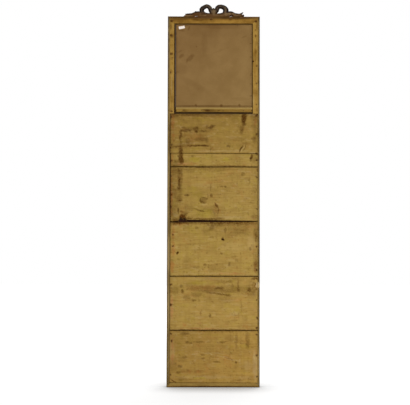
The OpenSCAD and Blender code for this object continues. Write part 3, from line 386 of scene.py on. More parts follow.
class Surface(Nodes):
    """A material of nodes. Points are in metres in the part's own frame."""

    def __init__(self, name):
        self.mat = bpy.data.materials.new(name)
        self.mat.use_nodes = True
        super().__init__(self.mat.node_tree)
        self.bsdf = self.node("ShaderNodeBsdfPrincipled")
        self.out = self.node("ShaderNodeOutputMaterial", {0: self.bsdf.outputs[0]})
        self.p = self.node("ShaderNodeTexCoord").outputs["Object"]

    def set(self, **values):
        for name, value in values.items():
            self.put(self.bsdf.inputs[name.replace("_", " ")], value)
        return self.mat

    def range(self, value, lo, hi, a=0.0, b=1.0):
        inputs = dict(enumerate((value, lo, hi, a, b)))
        return self.node("ShaderNodeMapRange", inputs, interpolation_type="SMOOTHSTEP").outputs[0]

    def scaled(self, scale, at=(0, 0, 0), turn=(0, 0, 0)):
        return self.node("ShaderNodeMapping", {0: self.p, 1: at, 2: turn, 3: scale}).outputs[0]

    def noise(self, scale=1.0, detail=2.0, rough=0.5, vector=None):
        inputs = {"Vector": vector or self.p, "Scale": scale, "Detail": detail, "Roughness": rough}
        return self.node("ShaderNodeTexNoise", inputs).outputs[0]

    def mix(self, fac, a, b, blend="MIX"):
        a, b = ((*v, 1) if isinstance(v, tuple) else v for v in (a, b))
        return self.node("ShaderNodeMix", {0: fac, 6: a, 7: b}, data_type="RGBA", blend_type=blend).outputs[2]

    def times(self, colour, by):
        return self.mix(1.0, colour, by, "MULTIPLY")

    def tinted(self, fac, colour, by):
        """The colour, multiplied by another one as far as fac says."""
        return self.mix(fac, colour, self.times(colour, by))

    def slope(self, first, second):
        """A slow change of colour across a piece, from one far corner to the other: x, z, colour."""
        (x0, z0, c0), (x1, z1, c1) = first, second
        run = self.scaled((1 / (x1 - x0), 0, 1 / (z1 - z0)), (-x0 / (x1 - x0), 0, -z0 / (z1 - z0)))
        t = self.mul(self.math("ADD", self.axis(0, run), self.axis(2, run)), 0.5)
        return self.mix(t, c0, c1)

    def axis(self, which, vector=None):
        return self.node("ShaderNodeSeparateXYZ", {0: vector or self.p}).outputs[which]

    def facing(self, which):
        """How far the surface looks along an axis, -1 to 1."""
        return self.axis(which, self.node("ShaderNodeNewGeometry").outputs["Normal"])

    def bump(self, height, strength, distance):
        inputs = {"Strength": strength, "Distance": distance, "Height": height}
        return self.node("ShaderNodeBump", inputs).outputs[0]

    def from_edges(self, node):
        """Distance from the nearest edge of a flat piece."""
        low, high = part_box(node)
        edges = []
        for which, a, b in ((0, low.x, high.x), (2, low.z, high.z)):
            off = self.math("ABSOLUTE", self.sub(self.axis(which), (a + b) / 2))
            edges.append(self.sub((b - a) / 2, off))
        return self.math("MINIMUM", *edges)

    def outer_edge(self, near_by, reach):
        """1 on the outermost few millimetres of the frame, falling to 0 further in."""
        side = self.sub(FRAME_HALF, self.math("ABSOLUTE", self.axis(0)))
        height = self.math("MINIMUM", self.axis(2), self.sub(FRAME_H, self.axis(2)))
        wave = self.mul_add(self.noise(40, 3, 0.6), 0.006, self.math("MINIMUM", side, height))
        return self.range(wave, near_by, reach, 1.0, 0.0)

    def wobble(self, scale=90.0, size=0.002):
        """The surface point moved a little, so that the edges of marks run unevenly."""
        n = self.node("ShaderNodeTexNoise", {"Vector": self.p, "Scale": scale, "Detail": 3.0})
        off = self.node("ShaderNodeVectorMath", {0: n.outputs[1], 1: (0.5,) * 3}, operation="SUBTRACT")
        inputs = {0: off.outputs[0], 1: (size * 2,) * 3, 2: self.p}
        return self.node("ShaderNodeVectorMath", inputs, operation="MULTIPLY_ADD").outputs[0]

    def marks(self, spots, vector, soft=0.6):
        """What is left of the clean surface after oval marks, which reach right through the depth."""
        left = None
        for x, z, rx, rz, strength, turn in map(full, spots):
            inputs = {0: vector, 1: (x, 0, z), 2: (0, math.radians(turn), 0), 3: (rx, 1000, rz)}
            m = self.node("ShaderNodeMapping", inputs, vector_type="TEXTURE")
            d = self.node("ShaderNodeVectorMath", {0: m.outputs[0]}, operation="LENGTH")
            one = self.range(d.outputs["Value"], 1 - soft, 1.0, 1 - strength, 1.0)
            left = one if left is None else self.mul(left, one)
        return left

    def wear_and_shade(self):
        """Dark stain and painted shade, pale rubbing and cast, worked out beforehand for each point of the
        mesh.
        """
        colour = self.node("ShaderNodeAttribute", attribute_name="age").outputs["Color"]
        return (self.axis(which, colour) for which in range(3))


# What a dark mark (stain, or painted shade where a mark lies in shade), grime at the outer edge, a red and an
# olive cast multiply the wood with
STAIN_AND_SHADE = (0.21, 0.115, 0.035)
GRIME = (0.30, 0.19, 0.10)
RED_CAST, OLIVE_CAST = (1.02, 0.80, 0.78), (0.97, 1.04, 0.68)
# Wood in rubbed places and in pale marks, and a painted highlight on a bevel that looks up; painted shade:
# black inside holes, and dark on the walls of the rebates
RUBBED, PALE_SPOT, BEVEL_HIGHLIGHT = (0.50, 0.36, 0.16), (0.46, 0.33, 0.14), (0.50, 0.36, 0.13)
HOLE_SHADE, WALL_SHADE = (0.012, 0.006, 0.002), (0.030, 0.013, 0.004)
# Ground of the gilding, where the gold is rubbed through
CLAY = (0.27, 0.075, 0.035)
# Specular level of dull old wood, board and paint
DULL = 0.04


def wood(name, dark, light, along="x", seed=0, grain=1.0, rings=110, tone=None, dark_marks=(), pale_marks=(),
         mottle=0.10, edge=None, aged=False, recess_shade=0.0, chamfer_highlight=0.0):
    """Old sawn wood: rings, fibres, pores and clouds, with the wear that a piece asks for, and, where asked,
    painted shade on the walls of rebates and a painted highlight on faces that look up.
    """
    s = Surface(name)
    shift = (seed * 1.37, seed * 0.71, seed * 2.13)

    def drawn(lengthways, deep, across):
        return s.scaled((lengthways, deep, across) if along == "x" else (across, deep, lengthways), shift)

    flow = s.noise(1.0, 2, 0.5, drawn(2.2, 22, 22))
    bent = s.mul_add(flow, 0.10, s.axis(2 if along == "x" else 0))
    late = s.range(s.math("SINE", s.mul(bent, rings * 2 * math.pi)), 0.1, 1.0)
    fibre = s.noise(1.0, 3, 0.6, drawn(26, 1500, 1500))
    pores = s.range(s.noise(1.0, 2, 0.5, drawn(26 * 2.4, 800, 1500 * 0.4)), 0.60, 0.72)
    patch = s.noise(9.0, 5, 0.6, s.scaled((1, 1, 1.4), shift))
    clouds = s.noise(34.0, 4, 0.6, s.scaled((1, 1, 1), shift))
    fac = s.mul_add(late, -0.30 * grain, 0.62)
    for part, weight in ((fibre, 0.9 * grain), (patch, mottle * 14), (clouds, mottle * 9)):
        fac = s.mul_add(s.sub(part, 0.5), weight, fac)
    fac = s.mul_add(pores, -0.22 * grain, fac)
    colour = s.mix(s.range(fac, 0.0, 1.0), dark, light)
    if tone:
        colour = s.times(colour, s.slope(*tone))
    moved = s.wobble()
    height = s.mul_add(fibre, 0.5, s.mul(late, 0.35))
    if aged:
        dark_and_shade, rub, warm = s.wear_and_shade()
        speck = s.noise(1.0, 3, 0.7, s.scaled((150, 500, 560), shift))
        spread = s.range(speck, 0.25, 0.65, 0.60, 1.30)
        colour = s.mix(s.mul(rub, spread), colour, RUBBED)
        colour = s.tinted(s.range(warm, 0.5, 1.0), colour, RED_CAST)
        colour = s.tinted(s.range(warm, 0.5, 0.0), colour, OLIVE_CAST)
        colour = s.tinted(s.mul(dark_and_shade, spread), colour, STAIN_AND_SHADE)
        # Painted shade: where the dark marks are deepest, in holes, the wood is made nearly black
        colour = s.mix(s.range(dark_and_shade, 0.965, 1.0), colour, HOLE_SHADE)
    if dark_marks:
        left = s.marks(dark_marks, moved)
        colour = s.mix(left, s.times(colour, STAIN_AND_SHADE), colour)
        height = s.mul(height, left)
    if edge:
        strength, near_by, reach = edge
        soiled = s.mul(s.outer_edge(near_by, reach), strength)
        colour = s.tinted(soiled, colour, GRIME)
    if pale_marks:
        colour = s.mix(s.marks(pale_marks, moved, 0.5), PALE_SPOT, colour)
    # Painted highlight: faces that look up, such as the batten's chamfer, are made paler
    if chamfer_highlight:
        bevel = s.mul(s.range(s.facing(2), 0.25, 0.5), chamfer_highlight)
        colour = s.mix(bevel, colour, BEVEL_HIGHLIGHT)
    if recess_shade:
        # Painted shade on the walls of the rebates: below the back, behind the face and inside the outer edge
        below = s.range(s.axis(1), Y_BOARD + 0.0002, Y_BOARD - 0.0002)
        deep = s.mul(below, s.range(s.axis(1), Y_FACE + 0.0004, Y_FACE + 0.0008))
        inner = s.range(s.sub(FRAME_HALF, s.math("ABSOLUTE", s.axis(0))), 0.002, 0.004)
        shaded = s.mul(s.mul(deep, inner), recess_shade)
        colour = s.mix(shaded, colour, WALL_SHADE)
    return s.set(Base_Color=colour, Roughness=s.range(patch, 0.3, 0.7, 0.74, 0.94),
                 Normal=s.bump(height, 0.35, 0.0006), Specular_IOR_Level=DULL)


def gilt(name, seed, worn=0.56, length_axis=2):
    """Water gilding: leaf laps, rubbed places that show red clay, brown dirt, dust on top faces."""
    s = Surface(name)
    v = s.scaled((1, 1, 1), (seed * 0.9, seed * 1.7, seed * 0.4))
    clouds = s.noise(16, 5, 0.6, v)
    fine = s.noise(240, 4, 0.65, v)
    rub = s.noise(70, 6, 0.7, v)
    lap = s.math("PINGPONG", s.mul_add(clouds, 0.02, s.axis(length_axis)), 0.041)
    lapped = s.range(lap, 0.0, 0.0015, 1.0, 0.0)
    gold = s.mix(s.range(clouds, 0.3, 0.7), (0.43, 0.255, 0.068), (0.60, 0.40, 0.140))
    gold = s.mix(s.mul(lapped, 0.35), gold, (0.33, 0.175, 0.05))
    bare = s.range(s.mul_add(fine, 0.18, rub), worn + 0.11, worn + 0.19)
    dirt = s.range(s.noise(38, 6, 0.7, s.scaled((1, 1, 1), (seed + 4, 2, 1))), 0.52, 0.78)
    colour = s.mix(bare, gold, CLAY)
    colour = s.mix(s.mul(dirt, 0.55), colour, (0.13, 0.075, 0.03))
    dust = s.mul(s.range(s.facing(2), 0.55, 0.95), 0.45)
    colour = s.mix(dust, colour, (0.33, 0.27, 0.19))
    metal = s.sub(1.0, s.math("MAXIMUM", bare, s.mul(dirt, 0.6)))
    return s.set(Base_Color=colour, Metallic=s.mul(s.sub(metal, dust), 0.92),
                 Roughness=s.range(fine, 0.2, 0.8, 0.30, 0.52),
                 Normal=s.bump(s.mul_add(bare, -0.5, fine), 0.16, 0.0006))


def iron(name):
    s = Surface(name)
    rusted = s.noise(700, 5, 0.7)
    return s.set(Base_Color=s.mix(s.range(rusted, 0.35, 0.65), (0.046, 0.023, 0.010), (0.125, 0.060, 0.022)),
                 Metallic=0.10, Roughness=s.range(rusted, 0.3, 0.7, 0.6, 0.9),
                 Normal=s.bump(rusted, 0.4, 0.0003), Specular_IOR_Level=0.15)


def silvered():
    """Silvered glass with foxed edges; the side towards the boards has a coat of red-brown paint."""
    s = Surface("silvered_plate")
    edge = s.math("ADD", s.from_edges("mirror_plate"), 0.012)
    reach = s.mul_add(s.noise(34, 3, 0.55), -0.036, edge)
    spots = s.range(s.noise(300, 4, 0.7), 0.66, 0.72)
    lost = s.math("MAXIMUM", s.range(reach, -0.004, 0.010, 0.55, 0.0), s.mul(spots, 0.25))
    back = s.range(s.facing(1), 0.4, 0.6)
    paint = s.mix(s.noise(40, 4, 0.6), (0.022, 0.009, 0.005), (0.045, 0.018, 0.009))
    face = s.mix(lost, (0.83, 0.855, 0.85), (0.22, 0.19, 0.14))
    bright = s.mul(s.sub(1.0, back), s.mul_add(lost, -0.8, 1.0))
    rough = s.math("MAXIMUM", s.mul(back, 0.8), s.mul_add(lost, 0.3, 0.015))
    return s.set(Base_Color=s.mix(back, face, paint), Metallic=bright, Roughness=rough,
                 Specular_IOR_Level=DULL)


def distemper():
    """Grey-green distemper with brush marks, fine cracks and a darker rim of dirt."""
    s = Surface("panel_paint")
    brush = s.noise(1.0, 4, 0.6, s.scaled((30, 30, 420)))
    clouds = s.noise(7, 5, 0.6)
    inputs = {"Vector": s.wobble(60, 0.006), "Scale": 75}
    cells = s.node("ShaderNodeTexVoronoi", inputs, feature="DISTANCE_TO_EDGE")
    line = s.range(cells.outputs["Distance"], 0.0, 0.028, 1.0, 0.0)
    crack = s.mul(line, s.range(clouds, 0.42, 0.62))
    colour = s.mix(s.range(clouds, 0.3, 0.7), (0.37, 0.42, 0.34), (0.46, 0.50, 0.41))
    colour = s.mix(s.mul(s.range(brush, 0.3, 0.7), 0.35), colour, (0.33, 0.38, 0.30))
    rim = s.range(s.from_edges("painted_panel"), 0.008, 0.050, 0.55, 0.0)
    colour = s.mix(rim, colour, (0.17, 0.16, 0.10))
    colour = s.mix(s.mul(crack, 0.7), colour, (0.10, 0.09, 0.06))
    # Back and sides: bare wood, kept very dark, partly as painted shade in the narrow gap beside the backing
    # board where they show
    front = s.range(s.facing(1), -0.9, -0.6, 1.0, 0.0)
    colour = s.mix(front, s.mix(brush, (0.030, 0.017, 0.007), (0.075, 0.043, 0.018)), colour)
    return s.set(Base_Color=colour, Roughness=s.range(clouds, 0.3, 0.7, 0.52, 0.7),
                 Normal=s.bump(s.mul_add(crack, -1.2, brush), 0.2, 0.0005))


def fibre_board(dark_marks):
    s = Surface("brown_fibre_board")
    felt = s.noise(900, 4, 0.7)
    weave = s.noise(1.0, 2, 0.5, s.scaled((260, 260, 900)))
    hair = s.range(s.noise(1.0, 3, 0.6, s.scaled((900, 900, 120), (3, 1, 2), (0, 0.7, 0))), 0.62, 0.74)
    colour = s.mix(s.range(s.noise(8, 5, 0.6), 0.3, 0.7), (0.212, 0.124, 0.040), (0.258, 0.158, 0.055))
    colour = s.mix(s.range(felt, 0.3, 0.7, 0.0, 0.30), colour, (0.15, 0.085, 0.03))
    colour = s.mix(s.mul(hair, 0.25), colour, (0.36, 0.25, 0.11))
    corners = ((176, 25, (0.87, 0.81, 0.83)), (251, 105, (1.04, 1.06, 1.07)))
    colour = s.times(colour, s.slope(*((*seen(u, v, Y_PANEL), tone) for u, v, tone in corners)))
    # Dark marks: dirt and brads, and painted shade along the edges under the strips and the batten
    colour = s.mix(s.marks(dark_marks, s.wobble()), s.times(colour, (0.42, 0.30, 0.16)), colour)
    return s.set(Base_Color=colour, Roughness=0.82, Specular_IOR_Level=DULL,
                 Normal=s.bump(s.math("ADD", felt, s.mul(weave, 0.6)), 0.3, 0.0004))


def paper():
    s = Surface("blank_paper")
    tone = s.mix(s.range(s.noise(120, 3, 0.5), 0.35, 0.75), (0.86, 0.77, 0.71), (0.78, 0.70, 0.62))
    return s.set(Base_Color=tone, Roughness=0.75, Normal=s.bump(s.noise(1800, 4, 0.6), 0.15, 0.0002))


def carving():
    """Dark stained back of the bow with painted shade on the edges of its ribbons, gilt on everything that
    faces the room.
    """
    s = Surface("crest_finish")
    grain = s.noise(1.0, 4, 0.65, s.scaled((60, 400, 900)))
    clouds = s.noise(55, 5, 0.65)
    back_stain_and_shade = s.mix(s.range(clouds, 0.35, 0.66), (0.044, 0.029, 0.018), (0.095, 0.066, 0.042))
    back_stain_and_shade = s.mix(s.mul(s.range(grain, 0.45, 0.7), 0.4), back_stain_and_shade, (0.115, 0.082, 0.052))
    # Painted shade: where the back turns away from +Y, at the edges of the ribbons, it is made nearly black
    back_stain_and_shade = s.mix(s.range(s.facing(1), 0.84, 0.99), (0.006, 0.0035, 0.0025), back_stain_and_shade)
    low_part = s.mul(s.range(s.axis(2), FRAME_H + 0.028, FRAME_H + 0.006), 0.9)
    back_stain_and_shade = s.mix(low_part, back_stain_and_shade, s.mix(clouds, (0.062, 0.027, 0.006), (0.128, 0.058, 0.014)))
    black, rub, red = s.wear_and_shade()
    back_stain_and_shade = s.mix(rub, back_stain_and_shade, (0.200, 0.126, 0.056))
    back_stain_and_shade = s.mix(s.range(red, 0.5, 1.0), back_stain_and_shade, (0.082, 0.034, 0.008))
    back_stain_and_shade = s.tinted(black, back_stain_and_shade, (0.16, 0.10, 0.09))
    back = s.math("MAXIMUM", s.range(s.facing(1), -0.15, 0.25), s.range(s.axis(1), 0.008, 0.012))
    fine = s.noise(260, 4, 0.65)
    bare = s.range(s.mul_add(fine, 0.2, s.noise(90, 6, 0.7)), 0.66, 0.75)
    gold = s.mix(s.range(clouds, 0.3, 0.7), (0.42, 0.245, 0.066), (0.58, 0.38, 0.130))
    gold = s.mix(bare, gold, CLAY)
    metal = s.mul(s.sub(1.0, back), s.mul_add(bare, -0.9, 0.92))
    return s.set(Base_Color=s.mix(back, gold, back_stain_and_shade), Metallic=metal,
                 Roughness=s.mul_add(back, 0.28, s.range(fine, 0.2, 0.8, 0.32, 0.52)),
                 Normal=s.bump(s.math("ADD", grain, fine), 0.3, 0.0008), Specular_IOR_Level=0.06)


# ---------------------------------------------------------------- wear and painted shade

def heads(node):
    """Where the nails of a node stand: the middle of each separate head, as x, z."""
    points = [(v.co.x, v.co.z) for v in NODES[node].data.vertices]

    def close(a, b):
        return abs(a[0] - b[0]) < 0.006 and abs(a[1] - b[1]) < 0.006

    places = []
    for q in points:
        if not any(close(p, q) for p in places):
            places.append(q)
    groups = [[q for q in points if close(p, q)] for p in places]
    return [(sum(q[0] for q in g) / len(g), sum(q[1] for q in g) / len(g)) for g in groups]


def clouds(x, y, seed, octaves=3):
    """Smooth noise from -1 to 1 over whole arrays of points."""
    total = weight = 0.0
    for k in range(octaves):
        xi, yi = np.floor(x), np.floor(y)
        fx, fy = x - xi, y - yi
        fx, fy = fx * fx * (3 - 2 * fx), fy * fy * (3 - 2 * fy)

        def corner(a, b):
            t = np.sin(a * 127.1 + b * 311.7 + (seed + k) * 74.7) * 43758.5453
            return (t - np.floor(t)) * 2 - 1

        near_row = corner(xi, yi) * (1 - fx) + corner(xi + 1, yi) * fx
        next_row = corner(xi, yi + 1) * (1 - fx) + corner(xi + 1, yi + 1) * fx
        total = total + 0.5 ** k * (near_row * (1 - fy) + next_row * fy)
        weight += 0.5 ** k
        x, y = x * 2 + 17.3, y * 2 + 5.1
    return total / weight


def ripple(*at):
    return noise.noise(Vector(at))


# Far apart in the noise, so that the three parts of a step have nothing to do with each other
STEP_PARTS = (0, 17.3, 41.9)


def shaken(p, scale):
    """A step of up to about 1 in each direction, the same at a point in every run."""
    x, y, z = p * scale
    return np.array([ripple(x + far, y, z) for far in STEP_PARTS])


def ease(x, lo, hi):
    t = np.clip((x - lo) / (hi - lo), 0, 1)
    return t * t * (3 - 2 * t)


class Age:
    """Wear and painted shade of a mesh at each of its points: dark stain and painted shade, pale rubbing, and
    a red or olive cast.
    """

    def __init__(self, x, z, seed, drift=1.0):
        self.u, self.v = to_px(x, z)
        self.seed = seed
        self.moved_u = self.u + 1.3 * drift * clouds(self.u * 0.5, self.v * 0.5, seed)
        self.moved_v = self.v + 1.0 * drift * clouds(self.u * 0.5 + 40, self.v * 0.5, seed + 9)
        self.torn = clouds(self.u * 1.4, self.v * 1.9, seed + 70, 2)
        self.dark, self.pale, self.red, self.olive = np.zeros((4, len(x)))

    def spots(self, table, field, broken_up=0.45):
        """Lays the uneven oval marks of a table over a field."""
        values = getattr(self, field)
        for u, v, ru, rv, strength, turn in map(full, table):
            reach = 1.6 * max(ru, rv)
            k = np.nonzero((np.abs(self.u - u) < reach) & (np.abs(self.v - v) < reach))[0]
            du, dv = self.moved_u[k] - u, self.moved_v[k] - v
            c, s = math.cos(math.radians(turn)), math.sin(math.radians(turn))
            d = np.hypot((du * c - dv * s) / ru, (du * s + dv * c) / rv)
            mark = strength * (1 + broken_up * self.torn[k]) * ease(d, 1.2, 0.45)
            values[k] = 1 - (1 - values[k]) * (1 - np.clip(mark, 0, 1))

    def weather(self):
        """What time does everywhere: clouds, flecks, runs of water and smears along the grain."""
        u, v, n = self.u, self.v, self.seed
        soil = 0.20 * np.clip(clouds(u * 0.15, v * 0.28, n + 20), 0, 1)
        soil += 0.34 * ease(clouds(u * 0.62, v * 0.80, n + 30, 2), 0.38, 0.80)
        soil += 0.12 * np.clip(clouds(u * 0.75, v * 0.06, n + 40, 2), 0, 1)
        soil += 0.12 * np.clip(clouds(u * 0.08, v * 1.0, n + 50, 2), 0, 1)
        self.dark = 1 - (1 - self.dark) * (1 - soil)
        self.pale = np.maximum(self.pale, 0.22 * ease(clouds(u * 0.22, v * 0.6, n + 60), 0.15, 0.7))
        self.red += 0.55 * clouds(u * 0.11, v * 0.17, n + 80) + 0.35 * clouds(u * 0.6, v * 0.6, n + 90, 2)

    def soil_edges(self, to_end, to_joint):
        """Grime along the ends and the joints; distances in metres."""
        # The ends are cleaner low on the boards and at one side
        uneven = 1 + 0.6 * self.torn
        kept = (1 - 0.55 * ease(self.v, 224, 238)) * np.where(self.u > MIDDLE_U, 0.45, 1.0)
        for d, reach, strength in (
            (to_end, 0.0075, 0.50 * kept), (to_end, 0.0020, 0.35 * kept), (to_joint, 0.0022, 0.34)
        ):
            self.dark = 1 - (1 - self.dark) * (1 - np.clip(strength * uneven * np.exp(-d / reach), 0, 0.95))

    def write(self, mesh):
        values = np.ones((len(self.dark), 4))
        values[:, 0] = np.clip(self.dark, 0, 1)
        values[:, 1] = np.clip(self.pale, 0, 1)
        values[:, 2] = np.clip(0.5 + 0.5 * (self.red - self.olive), 0, 1)
        layer = mesh.color_attributes.new("age", "FLOAT_COLOR", "POINT")
        layer.data.foreach_set("color", values.ravel())


# ---------------------------------------------------------------- meshes

def linked(name, data):
    o = bpy.data.objects.new(name, data)
    bpy.context.scene.collection.objects.link(o)
    return o


def new_object(name, verts, faces, material, smooth=True):
    mesh = bpy.data.meshes.new(name)
    mesh.from_pydata([tuple(v) for v in verts], [], faces)
    mesh.validate()
    mesh.materials.append(material)
    mesh.polygons.foreach_set("use_smooth", [smooth] * len(mesh.polygons))
    mesh.update()
    return linked(name, mesh)


def skin(rows, cols, closed=False, ring=False, flip=False):
    """Faces over a grid of points laid row by row; closed joins its sides, ring its first and last row."""
    faces = []
    for i in range(rows if ring else rows - 1):
        for j in range(cols if closed else cols - 1):
            this, following, k = i * cols, (i + 1) % rows * cols, (j + 1) % cols
            a, b, c, d = this + j, this + k, following + k, following + j
            faces.append((a, d, c, b) if flip else (a, b, c, d))
    return faces


def border(rows, cols):
    """The points round such a grid, in order."""
    there = [i * cols for i in range(rows)] + [(rows - 1) * cols + j for j in range(1, cols)]
    return there + [i * cols + cols - 1 for i in range(rows - 2, -1, -1)] + list(range(cols - 2, 0, -1))


def joined(parts):
    verts, faces = [], []
    for v, f in parts:
        base = len(verts)
        verts += v
        faces += [tuple(base + k for k in face) for face in f]
    return verts, faces


def steps(a, b, count):
    return [a + (b - a) * i / count for i in range(count + 1)]


def block(low, high):
    v = [(x, y, z) for x in (low[0], high[0]) for y in (low[1], high[1]) for z in (low[2], high[2])]
    return v, [(0, 1, 3, 2), (4, 6, 7, 5), (0, 4, 5, 1), (2, 3, 7, 6), (0, 2, 6, 4), (1, 5, 7, 3)]


def ball(centre, size, rings, turns, pleats=0, depth=0.0):
    verts = []
    for i in range(rings + 1):
        lat = math.pi * i / rings
        for j in range(turns):
            lon = 2 * math.pi * j / turns
            r = 1 + depth * math.cos(pleats * lon)
            verts.append((centre[0] + size[0] * math.sin(lat) * math.cos(lon) * r,
                          centre[1] + size[1] * math.sin(lat) * math.sin(lon) * r,
                          centre[2] + size[2] * math.cos(lat)))
    return verts, skin(rings + 1, turns, closed=True, flip=True)


def rounded(path, times):
    """Catmull-Rom points through a path of tuples."""
    pts = [np.array(p, float) for p in path]
    pts = [2 * pts[0] - pts[1]] + pts + [2 * pts[-1] - pts[-2]]
    out = []
    for a, b, c, d in zip(pts, pts[1:], pts[2:], pts[3:]):
        for k in range(times):
            t = k / times
            out.append(0.5 * (2 * b + (c - a) * t + (2 * a - 5 * b + 4 * c - d) * t * t +
                              (3 * b - a - 3 * c + d) * t ** 3))
    out.append(pts[-2])
    return out


def swept(path, times, shape, origin, back=0.0, waved=False):
    """Points of a band along a path, and the number of its sections.

    The path gives across, up, width and depth in millimetres from an origin on the band's back.
    """
    pts = rounded(path, times)
    verts = []
    for i, p in enumerate(pts):
        run = pts[min(i + 1, len(pts) - 1)] - pts[max(i - 1, 0)]
        ahead = math.hypot(run[0], run[1])
        side = (run[1] / ahead, -run[0] / ahead)
        notch = 1 + 0.035 * math.sin(i * 1.45) - 0.02 if waved else 1
        for a, d in shape:
            w = a * p[2] / 2 * notch
            verts.append((origin[0] + (p[0] + side[0] * w) * MM, origin[1] - back - d * (p[3] * MM - back),
                          origin[2] + (p[1] + side[1] * w) * MM))
    return verts, len(pts)


# ---------------------------------------------------------------- backboards

CELL = 0.003
WORN = 0.0004
# Distances from the edge of a board at which its arris is worn down, and how far
ARRIS = (0.0, 0.0009, 0.0022)
WORN_DOWN = (0.0016, 0.0005, 0.0001)


def plank(name, node, low, high, material, seed):
    """A backboard with a slightly hollow, worn face, soft arrises and uneven sawn edges."""
    lo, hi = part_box(node)

    def across(a, b, inner):
        return [a + s for s in ARRIS] + inner + [b - s for s in reversed(ARRIS)]

    xs = across(lo.x, hi.x, steps(lo.x, hi.x, round((hi.x - lo.x) / CELL))[1:-1])
    ts = steps(0, 1, max(6, round((hi.z - lo.z) / CELL)))[1:-1]
    n, m = len(xs), len(ts) + 2 * len(ARRIS)
    verts = []
    for i, x in enumerate(xs):
        a = low(x) + WORN + WORN * ripple(x * 90, seed * 3.1, 0.3)
        b = high(x) - WORN - WORN * ripple(x * 90, seed * 5.3, 4.3)
        for j, z in enumerate(across(a, b, [a + (b - a) * t for t in ts])):
            edge = min(i, n - 1 - i, j, m - 1 - j)
            t = (j / (m - 1) - 0.5) * 2
            cup = 0.00035 * (t * t - 1)
            wave = 0.00022 * (ripple(x * 14, z * 30, seed) - 0.6)
            worn = WORN_DOWN[edge] if edge < len(WORN_DOWN) else 0.0
            verts.append((x, Y_BOARD - 0.0002 + cup + wave - worn, z))
    faces = skin(n, m, flip=True)
    ring = border(n, m)
    base = len(verts)
    verts += [(verts[k][0], Y_LEDGE + 0.00005, verts[k][2]) for k in ring]
    for k in range(len(ring)):
        following = (k + 1) % len(ring)
        faces.append((ring[following], ring[k], base + k, base + following))
    faces.append(tuple(base + k for k in range(len(ring))))
    o = new_object(name, verts, faces, material)
    x, z = np.array([v[0] for v in verts]), np.array([v[2] for v in verts])
    age = Age(x, z, seed)
    age.spots(BOARD_DARK_MARKS, "dark")
    age.spots(board_rust, "dark")
    age.spots(BOARD_PALE_MARKS, "pale")
    age.spots(BOARD_OLIVE_MARKS, "olive")
    age.spots(BOARD_WARM_MARKS, "red")
    age.weather()
    to_joint = np.minimum(z - np.array([low(a) for a in x]), np.array([high(a) for a in x]) - z)
    age.soil_edges(np.maximum(np.minimum(x - lo.x, hi.x - x), 0), np.maximum(to_joint, 0))
    age.write(o.data)
    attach(o, "root")
    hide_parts(node)


def straight(a, b):
    """An edge that runs from height a at one end of the boards to b at the other."""
    x0, x1 = BOARD_X
    return lambda x: a + (b - a) * (x - x0) / (x1 - x0)


def broken(x):
    """Lower edge of board 2: a shrunken joint, wider to the right, with a broken place near the end."""
    points = [(BOARD_X[0], 0.8209), (0.1302, 0.8254), (0.1422, 0.8344), (0.1532, 0.8324), (0.1622, 0.8384),
              (0.1712, 0.8294), (0.1762, 0.8204), (0.1942, 0.8179), (BOARD_X[1], 0.8174)]
    for (x0, z0), (x1, z1) in zip(points, points[1:]):
        if x <= x1:
            rough = 0.0012 * ripple(x * 700, 3, 1) if 0.128 < x < 0.180 else 0.0
            return z0 + (z1 - z0) * (x - x0) / (x1 - x0) + 0.0006 + rough
    return points[-1][1]


def splinters(material):
    """Torn fibres that still hang in the broken edge of board 2."""
    parts = []
    for _ in range(26):
        x = rng.uniform(0.132, 0.178)
        y = rng.uniform(0.0095, 0.0165)
        z = broken(x) + 0.003
        length, half = rng.uniform(0.006, 0.016), rng.uniform(0.0004, 0.0011)
        lean = rng.uniform(-0.004, 0.004)
        tip = (x + lean, y + rng.uniform(-0.001, 0.001), max(z - length, 0.8150))
        root = [(x + a * half, y + b * half, z) for a, b in ((-1, -1), (1, -1), (1, 1), (-1, 1))]
        parts.append((root + [tip], [(0, 1, 4), (1, 2, 4), (2, 3, 4), (3, 0, 4), (3, 2, 1, 0)]))
    o = new_object("board_2_splinters", *joined(parts), material, False)
    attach(o, "root")
    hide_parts("backboard_2")


# ---------------------------------------------------------------- crest

# Section of a carved ribbon round one side, from the middle of its back: part of half the width, of the depth
RIBBON_HALF = [
    (0, 0.0), (0.3, 0.006), (0.55, 0.05), (0.75, 0.13), (0.9, 0.25), (1, 0.42), (1, 0.60),
    (0.97, 0.82), (0.86, 0.93), (0.74, 0.90), (0.55, 0.80), (0.30, 0.80), (0.12, 0.93), (0, 0.97)
]
RIBBON_OTHER = [(-a, d) for a, d in RIBBON_HALF[::-1]]
RIBBON_SHAPE = RIBBON_OTHER[8:] + RIBBON_HALF[1:] + RIBBON_OTHER[1:8]
